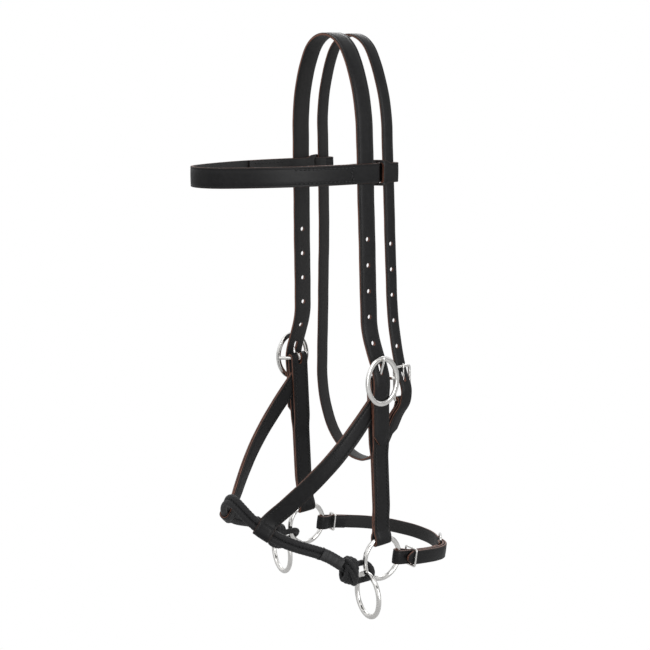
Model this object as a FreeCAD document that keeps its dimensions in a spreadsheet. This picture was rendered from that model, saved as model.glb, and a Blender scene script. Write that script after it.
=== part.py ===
import FreeCAD, Part
import math
import os
import Sketcher

# Leather side-pull bridle. Millimetres. The origin is the underside of the crown strap at the poll.
# +X is the horse's near (left) side, -Y the front of the face, +Z up.

SIZES = {
    # leather stock
    "strap_width": 19.05,
    "strap_thick": 2.8,
    "chape_thick": 2.6,
    "thin_width": 12.7,
    "thin_thick": 2.3,
    "band_thick": 2.5,
    "chin_width": 14.3,
    "lean_angle": 1.9,
    "crown_lean": 1.3,
    "cheek_lean": 3.0,
    "cheek_forward": 9.94,
    # crown strap, half of it, from the poll down to one pointed end
    "crown_centre": 1.4,
    "arch_radius": 38.0,
    "arch_angle": 60.0,
    "temple_radius": 150.0,
    "temple_angle": 29.0,
    "crown_leg": 181.723,
    "crown_flare_radius": 60.0,
    "crown_flare_angle": 24.0,
    "crown_slope": 20.079,
    "weave_radius": 40.0,
    "weave_angle": 25.0,
    "crown_tip": 65.0,
    "hole_radius": 2.3,
    "hole_pitch": 25.4,
    "crown_first_hole": 193.8,
    "crown_tongue_hole": 322.6,
    "tongue_slot_length": 17.0,
    "tongue_slot_width": 3.6,
    # cheek straps
    "ring_centre_across": 66.0,
    "ring_centre_drop": 517.0,
    "ring_major": 21.55,
    "ring_wire": 2.5,
    "fold_radius": 3.95,
    "fold_drop": 502.17,
    "fold_rise": 2.3,
    "pinch_radius": 10.0,
    "pinch_angle": 29.25,
    "cheek_rise": 6.0,
    "bow_radius": 60.0,
    "bow_angle": 9.94,
    "cheek_straight": 45.9,
    "shoulder_radius": 55.0,
    "shoulder_angle": 10.95,
    "shoulder_rise": 61.19,
    "bar_wrap_radius": 3.4,
    "quarter_turn": 90.0,
    "half_turn": 180.0,
    "join_overlap": 0.3,
    # cheek buckles
    "buckle_bar_across": 67.8,
    "buckle_bar_drop": 331.45,
    "buckle_plane_across": 77.0,
    "buckle_end_centre": 6.9,
    "buckle_end_radius": 15.5,
    "buckle_side_radius": 26.272,
    "buckle_half_width": 18.0,
    "buckle_band_half": 2.6,
    "buckle_band_thin": 1.4,
    "bar_radius": 1.95,
    "bar_straight": 10.4,
    "tongue_radius": 1.1,
    "tongue_ring": 3.2,
    "tongue_length": 27.0,
    "tongue_angle": 23.8,
    "chape_slot_width": 5.0,
    "chape_slot_low": 338.45,
    "chape_slot_high": 325.45,
    # nose hangers
    "hanger_thick": 4.0,
    "hanger_root_across": 67.8,
    "hanger_root_drop": 378.0,
    "hanger_bow": 11.1,
    "hanger_root_straight": 28.0,
    "hanger_wall": 2.0,
    "hanger_slot_half": 3.5,
    # throatlatch
    "throat_setback": 26.5,
    "throat_centre": 1.15,
    "throat_near_leg": 155.4,
    "throat_side_drop": 60.0,
    "throat_side_radius": 1500.0,
    "throat_side_angle": 3.0,
    "throat_flare_radius": 292.8,
    "throat_flare_angle": 15.55,
    "throat_through": 20.81,
    "throat_level_radius": 35.0,
    "throat_level_angle": 16.55,
    "throat_over_bar": 2.0,
    "throat_tuck_radius": 14.0,
    "throat_tuck_angle": 30.0,
    "throat_tip": 36.0,
    "throat_off_leg": 118.0,
    "jaw_side_radius": 100.0,
    "jaw_side_angle": 34.0,
    "jaw_radius": 57.05,
    "jaw_angle": 120.0,
    "throat_rise": 49.34,
    "throat_bend_radius": 12.0,
    "throat_wrap_radius": 2.75,
    "throat_return": 5.8,
    "throat_return_radius": 8.0,
    "throat_return_tip": 22.0,
    "throat_first_hole": 200.2,
    "throat_buckle_across": 69.8,
    "throat_heel_drop": 354.64,
    "throat_buckle_pitch": 33.5,
    "throat_buckle_width": 22.0,
    "throat_wire": 3.0,
    "throat_tongue_radius": 0.9,
    "throat_tongue_ring": 2.5,
    # browband
    "brow_drop": 130.5,
    "brow_front": 152.75,
    "brow_front_radius": 30.0,
    "brow_side_radius": 229.3,
    "brow_side_angle": 30.0,
    "brow_run": 61.0,
    "brow_loop_radius": 3.35,
    "brow_back_run": 43.76,
    "brow_pinch_radius": 17.3,
    "brow_pinch_angle": 28.0,
    "brow_lap": 1.0,
    "brow_lap_radius": 226.7,
    "brow_lap_angle": 10.0,
    # rope noseband, in a plane that slopes down to the rear through the knots
    "nose_setback": 21.0,
    "nose_drop": 522.0,
    "nose_slope": 37.0,
    "nose_front": 122.7,
    "rope_radius": 3.0,
    "rope_spacing": 3.05,
    "nose_front_radius": 36.0,
    "nose_front_angle": 55.0,
    "nose_side_radius": 178.0,
    "nose_side_angle": 24.0,
    "nose_tail": 26.0,
    "sleeve_length": 27.0,
    "sleeve_wall": 0.8,
    "sleeve_slot_half": 3.3,
    "knot_across": 63.8,
    "knot_half_height": 14.5,
    "knot_half_depth": 9.4,
    "loop_half": 8.56,
    "loop_across": 66.0,
    "loop_drop": 525.3,
    "loop_slant": 47.4,
    "loop_start": 20.0,
    "loop_run": 22.0,
    # rein rings
    "rein_major": 21.7,
    "rein_wire": 2.5,
    "rein_plane": 8.5,
    "rein_tilt": 20.0,
    "rein_hang": 15.9,
    "loop_strand_across": 71.8,
    "loop_strand_drop": 531.6,
    # chin strap, in a plane that slopes down to the rear through the cheek-ring axis
    "chin_slope": 8.5,
    "chin_depth": 112.0,
    "chin_back_radius": 62.0,
    "chin_back_angle": 60.0,
    "chin_side_radius": 120.0,
    "chin_side_angle": 30.0,
    "chin_entry": 0.8,
    "chin_fold_radius": 3.9,
    "chin_pinch_radius": 16.6,
    "chin_pinch_in": 28.78,
    "chin_pinch_out": 37.44,
    "chin_lap_radius": 117.4,
    "chin_lap_angle": 6.0,
    "chin_near_angle": 30.0,
    "chin_step_radius": 23.0,
    "chin_step_angle": 26.0,
    "chin_corner_radius": 35.0,
    "chin_corner_angle": 40.0,
    "chin_near_side_angle": 17.0,
    "chin_near_tip": 17.0,
    "chin_fold_centre": 20.2,
    "chape_run": 19.0,
    "chape_side_radius": 117.0,
    "chape_side_angle": 20.0,
    "chape_corner_radius": 31.2,
    "chape_wrap_radius": 2.5,
    "chape_return": 8.0,
    "chape_pinch_radius": 16.6,
    "chape_pinch_angle": 32.8,
    "chape_inner_radius": 114.5,
    "chin_heel_across": 47.88,
    "chin_heel_back": 93.4,
    "chin_far_across": 32.05,
    "chin_far_back": 106.1,
    "chin_frame_height": 23.0,
    "chin_wire": 2.5,
    "chin_tongue_ring": 2.25,
    "keeper_back": 36.0,
    "keeper_wire": 1.8,
    "keeper_depth": 4.0,
    "keeper_clear": 0.7,
}

doc = FreeCAD.newDocument("bridle")
sheet = doc.addObject("Spreadsheet::Sheet", "sizes")
for row, (alias, number) in enumerate(SIZES.items(), start=1):
    sheet.set(f"A{row}", alias)
    sheet.set(f"B{row}", str(number))
    sheet.setAlias(f"B{row}", alias)
doc.recompute()

ORIGIN = FreeCAD.Vector(0, 0, 0)
X_AXIS = FreeCAD.Vector(1, 0, 0)
Y_AXIS = FreeCAD.Vector(0, 1, 0)
Z_AXIS = FreeCAD.Vector(0, 0, 1)
LEANED = FreeCAD.Placement(ORIGIN, FreeCAD.Rotation(X_AXIS, SIZES["lean_angle"]))
CROWN_PLANE = FreeCAD.Placement(ORIGIN, FreeCAD.Rotation(X_AXIS, SIZES["crown_lean"]))
CHEEK_PLANE = FreeCAD.Placement(
    FreeCAD.Vector(0, -SIZES["cheek_forward"], 0), FreeCAD.Rotation(X_AXIS, SIZES["cheek_lean"])
)
finished = []


def finish(item, label):
    """Give a finished sub-part its node name and keep it for export."""
    item.Label = label
    finished.append(item)
    return item


def mirrored(source, label):
    """Make the off-side twin of a near-side sub-part."""
    twin = doc.addObject("Part::Mirroring", label)
    twin.Source = source
    twin.Base = ORIGIN
    twin.Normal = X_AXIS
    return finish(twin, label)


def term(*parts):
    """Turn (factor, alias) pairs into a number and the matching sheet expression."""
    number = sum(factor * SIZES[alias] for factor, alias in parts)
    text = " + ".join(f"{factor} * sizes.{alias}" for factor, alias in parts) or "0"
    return number, text


NOTHING = term()


def base_plane(body, role):
    """Find one of a body's own origin planes."""
    return [item for item in body.Origin.OriginFeatures if item.Role == role][0]


def new_body(label, placement=None):
    """Make a body at a placement."""
    body = doc.addObject("PartDesign::Body", label)
    if placement is not None:
        body.Placement = placement
    return body


def new_sketch(body, name, role, offset=NOTHING):
    """Attach a sketch to an origin plane, moved along the plane's normal."""
    sketch = body.newObject("Sketcher::SketchObject", name)
    sketch.AttachmentSupport = (base_plane(body, role), [""])
    sketch.MapMode = "FlatFace"
    if offset is not NOTHING:
        sketch.AttachmentOffset = FreeCAD.Placement(FreeCAD.Vector(0, 0, offset[0]), FreeCAD.Rotation())
        sketch.setExpression("AttachmentOffset.Base.z", offset[1])
    return sketch


def bind(sketch, expression, *parts):
    """Add a constraint whose value comes from the sheet."""
    index = sketch.addConstraint(Sketcher.Constraint(*parts))
    sketch.setExpression(f"Constraints[{index}]", expression)


def pin_point(sketch, geometry, position, across, up):
    """Fix a sketch point at sheet-driven distances from the sketch origin."""
    bind(sketch, across[1], "DistanceX", -1, 1, geometry, position, across[0])
    bind(sketch, up[1], "DistanceY", -1, 1, geometry, position, up[0])


def trace(sketch, across, up, heading, steps):
    """Draw a smooth open path of lines and arcs that meet at tangents.

    Each step is ("line", length), ("left", radius, angle) or ("right", radius, angle), as aliases.
    """
    point = FreeCAD.Vector(across[0], up[0], 0)
    course = math.radians(heading)
    pieces = []
    for step in steps:
        if step[0] == "line":
            ahead = FreeCAD.Vector(math.cos(course), math.sin(course), 0)
            end = point + ahead * SIZES[step[1]]
            index = sketch.addGeometry(Part.LineSegment(point, end))
            pieces.append((index, 1, 2))
            bind(sketch, f"sizes.{step[1]}", "Distance", index, SIZES[step[1]])
            point = end
            continue
        side = 1 if step[0] == "left" else -1
        radius = SIZES[step[1]]
        turn = math.radians(SIZES[step[2]])
        centre = point + FreeCAD.Vector(-math.sin(course), math.cos(course), 0) * side * radius
        begin = math.atan2(point.y - centre.y, point.x - centre.x)
        low, high = sorted((begin, begin + side * turn))
        circle = Part.Circle(centre, Z_AXIS, radius)
        index = sketch.addGeometry(Part.ArcOfCircle(circle, low, high))
        pieces.append((index, 1, 2) if side > 0 else (index, 2, 1))
        bind(sketch, f"sizes.{step[1]}", "Radius", index, radius)
        bind(sketch, f"sizes.{step[2]} * 1 deg", "Angle", index, turn)
        course += side * turn
        stop = begin + side * turn
        point = centre + FreeCAD.Vector(math.cos(stop), math.sin(stop), 0) * radius
    for (one, _, one_end), (two, two_start, _) in zip(pieces, pieces[1:]):
        sketch.addConstraint(Sketcher.Constraint("Tangent", one, one_end, two, two_start))
    first, first_start, first_end = pieces[0]
    pin_point(sketch, first, first_start, across, up)
    level = heading % 180 == 0
    if steps[0][0] == "line":
        sketch.addConstraint(Sketcher.Constraint("Horizontal" if level else "Vertical", first))
    else:
        square = "Vertical" if level else "Horizontal"
        sketch.addConstraint(Sketcher.Constraint(square, first, 3, first, first_start))


def rectangle(sketch, across, up, wide, tall):
    """Draw a rectangle about a centre, all from the sheet."""
    left = across[0] - wide[0] / 2
    low = up[0] - tall[0] / 2
    corners = [(left, low), (left + wide[0], low), (left + wide[0], low + tall[0]), (left, low + tall[0])]
    points = [FreeCAD.Vector(x, y, 0) for x, y in corners]
    sides = [sketch.addGeometry(Part.LineSegment(points[n], points[(n + 1) % 4])) for n in range(4)]
    for n in range(4):
        joint = Sketcher.Constraint("Coincident", sides[n], 2, sides[(n + 1) % 4], 1)
        sketch.addConstraint(joint)
        straight = "Horizontal" if n % 2 == 0 else "Vertical"
        sketch.addConstraint(Sketcher.Constraint(straight, sides[n]))
    bind(sketch, wide[1], "Distance", sides[0], wide[0])
    bind(sketch, tall[1], "Distance", sides[1], tall[0])
    corner_x = (left, f"{across[1]} - ({wide[1]}) / 2")
    corner_y = (low, f"{up[1]} - ({tall[1]}) / 2")
    pin_point(sketch, sides[0], 1, corner_x, corner_y)


def disc(sketch, across, up, radius):
    """Draw a circle about a centre, all from the sheet."""
    circle = Part.Circle(FreeCAD.Vector(across[0], up[0], 0), Z_AXIS, radius[0])
    index = sketch.addGeometry(circle)
    bind(sketch, radius[1], "Radius", index, radius[0])
    pin_point(sketch, index, 3, across, up)


def slot(sketch, across, up, half_length, radius):
    """Draw an upright slot about a centre: two half circles joined by lines."""
    x = across[0]
    top = FreeCAD.Vector(x, up[0] + half_length[0], 0)
    bottom = FreeCAD.Vector(x, up[0] - half_length[0], 0)
    edge = FreeCAD.Vector(radius[0], 0, 0)
    cap = sketch.addGeometry(Part.ArcOfCircle(Part.Circle(top, Z_AXIS, radius[0]), 0, math.pi))
    foot = sketch.addGeometry(
        Part.ArcOfCircle(Part.Circle(bottom, Z_AXIS, radius[0]), math.pi, 2 * math.pi)
    )
    left = sketch.addGeometry(Part.LineSegment(top - edge, bottom - edge))
    right = sketch.addGeometry(Part.LineSegment(bottom + edge, top + edge))
    outline = [cap, left, foot, right]
    for n in range(4):
        sketch.addConstraint(Sketcher.Constraint("Tangent", outline[n], 2, outline[(n + 1) % 4], 1))
    bind(sketch, radius[1], "Radius", cap, radius[0])
    pin_point(sketch, cap, 3, across, (top.y, f"{up[1]} + {half_length[1]}"))
    pin_point(sketch, foot, 3, across, (bottom.y, f"{up[1]} - ({half_length[1]})"))


def sweep(body, name, profile, spine):
    """Carry a profile along a spine."""
    pipe = body.newObject("PartDesign::AdditivePipe", name)
    pipe.Profile = profile
    pipe.Spine = spine
    doc.recompute()
    return pipe


def pocket_through(body, name, sketch):
    """Cut a sketch right through the body, both ways."""
    cut = body.newObject("PartDesign::Pocket", name)
    cut.Profile = sketch
    cut.Type = 1
    cut.Midplane = True
    doc.recompute()
    return cut


def hole_row(body, first):
    """Punch five adjusting holes down a strap that hangs on the +X side."""
    sketch = new_sketch(body, "hole_outline", "YZ_Plane")
    for n in range(5):
        disc(sketch, NOTHING, term((-1, first), (-n, "hole_pitch")), term((1, "hole_radius")))
    punch = body.newObject("PartDesign::Pocket", "holes")
    punch.Profile = sketch
    punch.Type = 1
    punch.Reversed = True
    doc.recompute()


def build_crown():
    """Crown strap: over the poll, down both cheeks and through the cheek buckles."""
    half = new_body("crown_half", CROWN_PLANE)
    profile = new_sketch(half, "section", "YZ_Plane")
    rectangle(profile, NOTHING, term((1, "crown_centre")), term((1, "strap_width")), term((1, "strap_thick")))
    spine = new_sketch(half, "path", "XZ_Plane")
    steps = [
        ("right", "arch_radius", "arch_angle"),
        ("right", "temple_radius", "temple_angle"),
        ("line", "crown_leg"),
        ("left", "crown_flare_radius", "crown_flare_angle"),
        ("line", "crown_slope"),
        ("right", "weave_radius", "weave_angle"),
        ("line", "crown_tip"),
    ]
    trace(spine, NOTHING, term((1, "crown_centre")), 0, steps)
    sweep(half, "strap", profile, spine)
    hole_row(half, "crown_first_hole")
    worn = new_sketch(half, "tongue_hole_outline", "YZ_Plane")
    straight = term((0.5, "tongue_slot_length"), (-0.5, "tongue_slot_width"))
    slot(worn, NOTHING, term((-1, "crown_tongue_hole")), straight, term((0.5, "tongue_slot_width")))
    pocket_through(half, "tongue_hole", worn)
    other = doc.addObject("Part::Mirroring", "crown_other_half")
    other.Source = half
    other.Base = ORIGIN
    other.Normal = X_AXIS
    whole = doc.addObject("Part::MultiFuse", "crown_strap")
    whole.Shapes = [half, other]
    whole.Refine = True
    return finish(whole, "crown_strap")


def build_cheek():
    """Cheek strap: folded round the cheek ring below and the buckle's centre bar above."""
    body = new_body("cheek_strap_near", CHEEK_PLANE)
    across = term((1, "ring_centre_across"))
    profile = new_sketch(body, "section", "YZ_Plane", across)
    rectangle(profile, NOTHING, term((-1, "fold_drop")), term((1, "strap_width")), term((1, "chape_thick")))
    outer = new_sketch(body, "outer_path", "XZ_Plane")
    outer_steps = [
        ("left", "fold_radius", "quarter_turn"),
        ("line", "fold_rise"),
        ("left", "pinch_radius", "pinch_angle"),
        ("right", "pinch_radius", "pinch_angle"),
        ("line", "cheek_rise"),
        ("right", "bow_radius", "bow_angle"),
        ("left", "bow_radius", "bow_angle"),
        ("line", "cheek_straight"),
        ("right", "shoulder_radius", "shoulder_angle"),
        ("left", "shoulder_radius", "shoulder_angle"),
        ("line", "shoulder_rise"),
        ("left", "bar_wrap_radius", "quarter_turn"),
        ("line", "join_overlap"),
    ]
    trace(outer, across, term((-1, "fold_drop")), 0, outer_steps)
    sweep(body, "outer_layer", profile, outer)
    inner = new_sketch(body, "inner_path", "XZ_Plane")
    inner_steps = [
        ("right", "fold_radius", "quarter_turn"),
        ("line", "fold_rise"),
        ("right", "pinch_radius", "pinch_angle"),
        ("left", "pinch_radius", "pinch_angle"),
        ("line", "cheek_rise"),
        ("right", "bow_radius", "bow_angle"),
        ("left", "bow_radius", "bow_angle"),
        ("line", "cheek_straight"),
        ("left", "shoulder_radius", "shoulder_angle"),
        ("right", "shoulder_radius", "shoulder_angle"),
        ("line", "shoulder_rise"),
        ("right", "bar_wrap_radius", "quarter_turn"),
        ("line", "join_overlap"),
    ]
    trace(inner, across, term((-1, "fold_drop")), 180, inner_steps)
    sweep(body, "inner_layer", profile, inner)
    opening = new_sketch(body, "tongue_slot_outline", "YZ_Plane")
    middle = term((-0.5, "chape_slot_low"), (-0.5, "chape_slot_high"))
    tall = term((1, "chape_slot_low"), (-1, "chape_slot_high"))
    rectangle(opening, NOTHING, middle, term((1, "chape_slot_width")), tall)
    pocket_through(body, "tongue_slot", opening)
    finish(body, "cheek_strap_near")
    mirrored(body, "cheek_strap_off")


def torus(name, major, minor, placement):
    """Make a wire ring whose radii come from the sheet."""
    ring = doc.addObject("Part::Torus", name)
    ring.setExpression("Radius1", major[1])
    ring.setExpression("Radius2", minor[1])
    ring.Placement = placement
    return ring


def block(name, size, centre, carrier):
    """Make a box about a centre."""
    box = doc.addObject("Part::Box", name)
    box.Length, box.Width, box.Height = size
    corner = centre - FreeCAD.Vector(*size) * 0.5
    box.Placement = carrier.multiply(FreeCAD.Placement(corner, FreeCAD.Rotation()))
    return box


def rod(name, radius, start, along, length):
    """Make a round rod from a start point along a direction."""
    bar = doc.addObject("Part::Cylinder", name)
    bar.setExpression("Radius", radius[1])
    bar.setExpression("Height", length[1])
    bar.Placement = FreeCAD.Placement(start, FreeCAD.Rotation(Z_AXIS, along))
    return bar


def joined(label, parts):
    """Weld shapes into one solid."""
    weld = doc.addObject("Part::MultiFuse", label)
    weld.Shapes = parts
    return weld


def oval(sketch, middle, grow):
    """Draw an oval of four arcs about the origin's axis, larger or smaller than the buckle's middle line."""
    rise = SIZES["buckle_end_centre"]
    end_radius = term((1, "buckle_end_radius"), (grow, "buckle_band_half"))
    side_radius = term((1, "buckle_side_radius"), (grow, "buckle_band_half"))
    inset = SIZES["buckle_side_radius"] - SIZES["buckle_half_width"]
    swing = math.atan2(rise, inset)
    half_turn = math.pi
    arcs = [
        (0, middle[0] + rise, end_radius, swing, half_turn - swing),
        (inset, middle[0], side_radius, half_turn - swing, half_turn + swing),
        (0, middle[0] - rise, end_radius, half_turn + swing, 2 * half_turn - swing),
        (-inset, middle[0], side_radius, -swing, swing),
    ]
    indices = []
    for across, up, radius, low, high in arcs:
        circle = Part.Circle(FreeCAD.Vector(across, up, 0), Z_AXIS, radius[0])
        index = sketch.addGeometry(Part.ArcOfCircle(circle, low, high))
        bind(sketch, radius[1], "Radius", index, radius[0])
        indices.append(index)
    for n in range(4):
        joint = Sketcher.Constraint("Tangent", indices[n], 2, indices[(n + 1) % 4], 1)
        sketch.addConstraint(joint)
    top = (middle[0] + rise, f"{middle[1]} + sizes.buckle_end_centre")
    bottom = (middle[0] - rise, f"{middle[1]} - sizes.buckle_end_centre")
    pin_point(sketch, indices[0], 3, NOTHING, top)
    pin_point(sketch, indices[2], 3, NOTHING, bottom)


def build_cheek_buckle():
    """Cheek buckle: a flat oval frame with a dropped centre bar."""
    plane = SIZES["buckle_plane_across"]
    drop = SIZES["buckle_bar_drop"]
    band = new_body("oval_band")
    back_face = term((1, "buckle_plane_across"), (-1, "buckle_band_thin"))
    outline = new_sketch(band, "band_outline", "YZ_Plane", back_face)
    middle_drop = term((-1, "buckle_bar_drop"))
    oval(outline, middle_drop, 1)
    oval(outline, middle_drop, -1)
    pad = band.newObject("PartDesign::Pad", "band")
    pad.Profile = outline
    pad.setExpression("Length", "2 * sizes.buckle_band_thin")
    doc.recompute()
    radius = term((1, "bar_radius"))
    across = SIZES["buckle_bar_across"]
    half = SIZES["bar_straight"]
    middle = rod("bar_middle", radius, FreeCAD.Vector(across, -half, -drop), Y_AXIS, term((2, "bar_straight")))
    parts = [band, middle]
    for name, side in (("rear", 1), ("front", -1)):
        elbow = FreeCAD.Vector(across, side * half, -drop)
        ball = doc.addObject("Part::Sphere", f"bar_{name}_elbow")
        ball.setExpression("Radius", radius[1])
        ball.Placement = FreeCAD.Placement(elbow, FreeCAD.Rotation())
        reach = FreeCAD.Vector(plane, side * SIZES["buckle_half_width"], -drop) - elbow
        length = (reach.Length, f"{reach.Length}")
        arm = rod(f"bar_{name}_arm", radius, elbow, FreeCAD.Vector(reach).normalize(), length)
        parts += [ball, arm]
    frame = joined("cheek_buckle_frame_near", parts)
    frame.Placement = CHEEK_PLANE
    finish(frame, "cheek_buckle_frame_near")
    mirrored(frame, "cheek_buckle_frame_off")


def build_tongue(label, bar_point, ring, radius, length, angle, carrier):
    """Buckle tongue: an eye round the bar with a rod that reaches over the far side of the frame."""
    eye_facing = FreeCAD.Rotation(X_AXIS, 90)
    eye = torus(f"{label}_eye", ring, radius, FreeCAD.Placement(bar_point, eye_facing))
    tilt = math.radians(angle)
    along = FreeCAD.Vector(math.sin(tilt), 0, math.cos(tilt))
    start = bar_point + FreeCAD.Vector(ring[0], 0, 0)
    prong = rod(f"{label}_prong", radius, start, along, length)
    tip = doc.addObject("Part::Sphere", f"{label}_tip")
    tip.setExpression("Radius", radius[1])
    tip.Placement = FreeCAD.Placement(start + along * length[0], FreeCAD.Rotation())
    tongue = joined(label, [eye, prong, tip])
    tongue.Placement = carrier
    return finish(tongue, label)


def build_cheek_tongues():
    """Tongues of the two cheek buckles."""
    bar_point = FreeCAD.Vector(SIZES["buckle_bar_across"], 0, -SIZES["buckle_bar_drop"])
    ring = term((1, "tongue_ring"))
    radius = term((1, "tongue_radius"))
    length = term((1, "tongue_length"))
    angle = SIZES["tongue_angle"]
    near = build_tongue("cheek_buckle_tongue_near", bar_point, ring, radius, length, angle, CHEEK_PLANE)
    mirrored(near, "cheek_buckle_tongue_off")


def build_throatlatch():
    """Throatlatch: one narrow strap over the poll, under the jaw and up to its own buckle."""
    setback = FreeCAD.Placement(FreeCAD.Vector(0, SIZES["throat_setback"], 0), LEANED.Rotation)
    body = new_body("throat_body", setback)
    profile = new_sketch(body, "section", "YZ_Plane")
    rectangle(profile, NOTHING, term((1, "throat_centre")), term((1, "thin_width")), term((1, "thin_thick")))
    near = new_sketch(body, "near_path", "XZ_Plane")
    near_steps = [
        ("right", "arch_radius", "arch_angle"),
        ("right", "temple_radius", "temple_angle"),
        ("line", "throat_near_leg"),
        ("left", "throat_flare_radius", "throat_flare_angle"),
        ("line", "throat_through"),
        ("right", "throat_level_radius", "throat_level_angle"),
        ("line", "throat_over_bar"),
        ("right", "throat_tuck_radius", "throat_tuck_angle"),
        ("line", "throat_tip"),
    ]
    trace(near, NOTHING, term((1, "throat_centre")), 0, near_steps)
    sweep(body, "near_side", profile, near)
    hole_row(body, "throat_first_hole")
    off = new_sketch(body, "off_path", "XZ_Plane")
    off_steps = [
        ("left", "arch_radius", "arch_angle"),
        ("left", "temple_radius", "temple_angle"),
        ("line", "throat_side_drop"),
        ("right", "throat_side_radius", "throat_side_angle"),
        ("line", "throat_off_leg"),
        ("left", "jaw_side_radius", "jaw_side_angle"),
        ("left", "jaw_radius", "jaw_angle"),
        ("line", "throat_rise"),
        ("left", "throat_bend_radius", "throat_tuck_angle"),
        ("left", "throat_wrap_radius", "half_turn"),
        ("line", "throat_return"),
        ("right", "throat_return_radius", "throat_tuck_angle"),
        ("line", "throat_return_tip"),
    ]
    trace(off, NOTHING, term((1, "throat_centre")), 180, off_steps)
    sweep(body, "off_side_and_jaw", profile, off)
    heel = FreeCAD.Vector(SIZES["throat_buckle_across"], 0, -SIZES["throat_heel_drop"])
    fold_slot = block("throat_fold_slot", (12.0, 3.4, 10.5), heel + FreeCAD.Vector(-2.05, 0, 0.6), setback)
    billet_hole = block("throat_billet_hole", (12.0, 2.8, 20.0), heel + FreeCAD.Vector(0, 0, 16.0), setback)
    strap = doc.addObject("Part::Cut", "throatlatch_strap")
    strap.Base = body
    strap.Tool = joined("throat_openings", [fold_slot, billet_hole])
    finish(strap, "throatlatch_strap")
    return setback


def rectangular_frame(label, size, wire, placement, soften):
    """Flat rectangular wire frame, centred, lying in its own XY plane."""
    outer = doc.addObject("Part::Box", f"{label}_outside")
    inner = doc.addObject("Part::Box", f"{label}_opening")
    wide, tall, deep = size
    for box, less in ((outer, 0.0), (inner, 2.0)):
        box.Length = wide[0] - less * wire[0]
        box.Width = tall[0] - less * wire[0]
        box.Height = deep[0]
        box.setExpression("Length", f"{wide[1]} - {less} * ({wire[1]})")
        box.setExpression("Width", f"{tall[1]} - {less} * ({wire[1]})")
        corner = FreeCAD.Vector(-box.Length.Value / 2, -box.Width.Value / 2, -deep[0] / 2)
        box.Placement = FreeCAD.Placement(corner, FreeCAD.Rotation())
    outer.setExpression("Height", deep[1])
    inner.Height = 3 * deep[0]
    inner.Placement = FreeCAD.Placement(inner.Placement.Base - Z_AXIS * deep[0], FreeCAD.Rotation())
    ring = doc.addObject("Part::Cut", f"{label}_ring")
    ring.Base = outer
    ring.Tool = inner
    doc.recompute()
    rounded = doc.addObject("Part::Fillet", label)
    rounded.Base = ring
    rounded.Edges = [(n + 1, soften, soften) for n in range(len(ring.Shape.Edges))]
    rounded.Placement = placement
    return rounded


def build_throat_buckle(setback):
    """Throatlatch buckle: a rectangular wire frame whose lower side is the heel bar."""
    pitch = term((1, "throat_buckle_pitch"))
    wire = term((1, "throat_wire"))
    tall = term((1, "throat_buckle_pitch"), (1, "throat_wire"))
    across = SIZES["throat_buckle_across"]
    middle = -SIZES["throat_heel_drop"] + pitch[0] / 2
    facing = FreeCAD.Rotation(Y_AXIS, Z_AXIS, X_AXIS, "XYZ")
    place = FreeCAD.Placement(FreeCAD.Vector(across, 0, middle), facing)
    size = (term((1, "throat_buckle_width")), tall, wire)
    frame = rectangular_frame("throat_buckle_frame", size, wire, setback.multiply(place), 1.4)
    finish(frame, "throat_buckle_frame")
    bar_point = FreeCAD.Vector(across, 0, -SIZES["throat_heel_drop"])
    ring = term((1, "throat_tongue_ring"))
    radius = term((1, "throat_tongue_radius"))
    build_tongue("throat_buckle_tongue", bar_point, ring, radius, (36.0, "36"), 0.0, setback)


def build_browband():
    """Browband: one strap round the brow, each end looped round the crown and throat straps."""
    level = FreeCAD.Placement(FreeCAD.Vector(0, 0, -SIZES["brow_drop"]), FreeCAD.Rotation())
    half = new_body("brow_half", level)
    profile = new_sketch(half, "section", "YZ_Plane")
    front = term((-1, "brow_front"))
    rectangle(profile, front, NOTHING, term((1, "band_thick")), term((1, "strap_width")))
    spine = new_sketch(half, "path", "XY_Plane")
    steps = [
        ("left", "brow_front_radius", "arch_angle"),
        ("left", "brow_side_radius", "brow_side_angle"),
        ("line", "brow_run"),
        ("left", "brow_loop_radius", "half_turn"),
        ("line", "brow_back_run"),
        ("left", "brow_pinch_radius", "brow_pinch_angle"),
        ("right", "brow_pinch_radius", "brow_pinch_angle"),
        ("line", "brow_lap"),
        ("right", "brow_lap_radius", "brow_lap_angle"),
    ]
    trace(spine, NOTHING, front, 0, steps)
    sweep(half, "band", profile, spine)
    other = doc.addObject("Part::Mirroring", "brow_other_half")
    other.Source = half
    other.Base = ORIGIN
    other.Normal = X_AXIS
    whole = doc.addObject("Part::MultiFuse", "browband")
    whole.Shapes = [half, other]
    whole.Refine = True
    finish(whole, "browband")


def sloped(setback, drop, slope):
    """Placement of a plane that slopes down towards the rear."""
    return FreeCAD.Placement(FreeCAD.Vector(0, setback, -drop), FreeCAD.Rotation(X_AXIS, -slope))


NOSE_PLANE = sloped(-SIZES["nose_setback"], SIZES["nose_drop"], SIZES["nose_slope"])
NOSE_STEPS = [
    ("left", "nose_front_radius", "nose_front_angle"),
    ("left", "nose_side_radius", "nose_side_angle"),
    ("line", "nose_tail"),
]


def nose_point(run):
    """Point and heading on the near side of the noseband, a distance past the front bend."""
    front_radius = SIZES["nose_front_radius"]
    side_radius = SIZES["nose_side_radius"]
    bend = math.radians(SIZES["nose_front_angle"])
    x = front_radius * math.sin(bend)
    y = -SIZES["nose_front"] + front_radius * (1 - math.cos(bend))
    turn = min(run / side_radius, math.radians(SIZES["nose_side_angle"]))
    x += side_radius * (math.sin(bend + turn) - math.sin(bend))
    y += side_radius * (math.cos(bend) - math.cos(bend + turn))
    straight = run - turn * side_radius
    course = bend + turn
    ahead = FreeCAD.Vector(math.cos(course), math.sin(course), 0)
    return FreeCAD.Vector(x, y, 0) + ahead * straight, ahead


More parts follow.
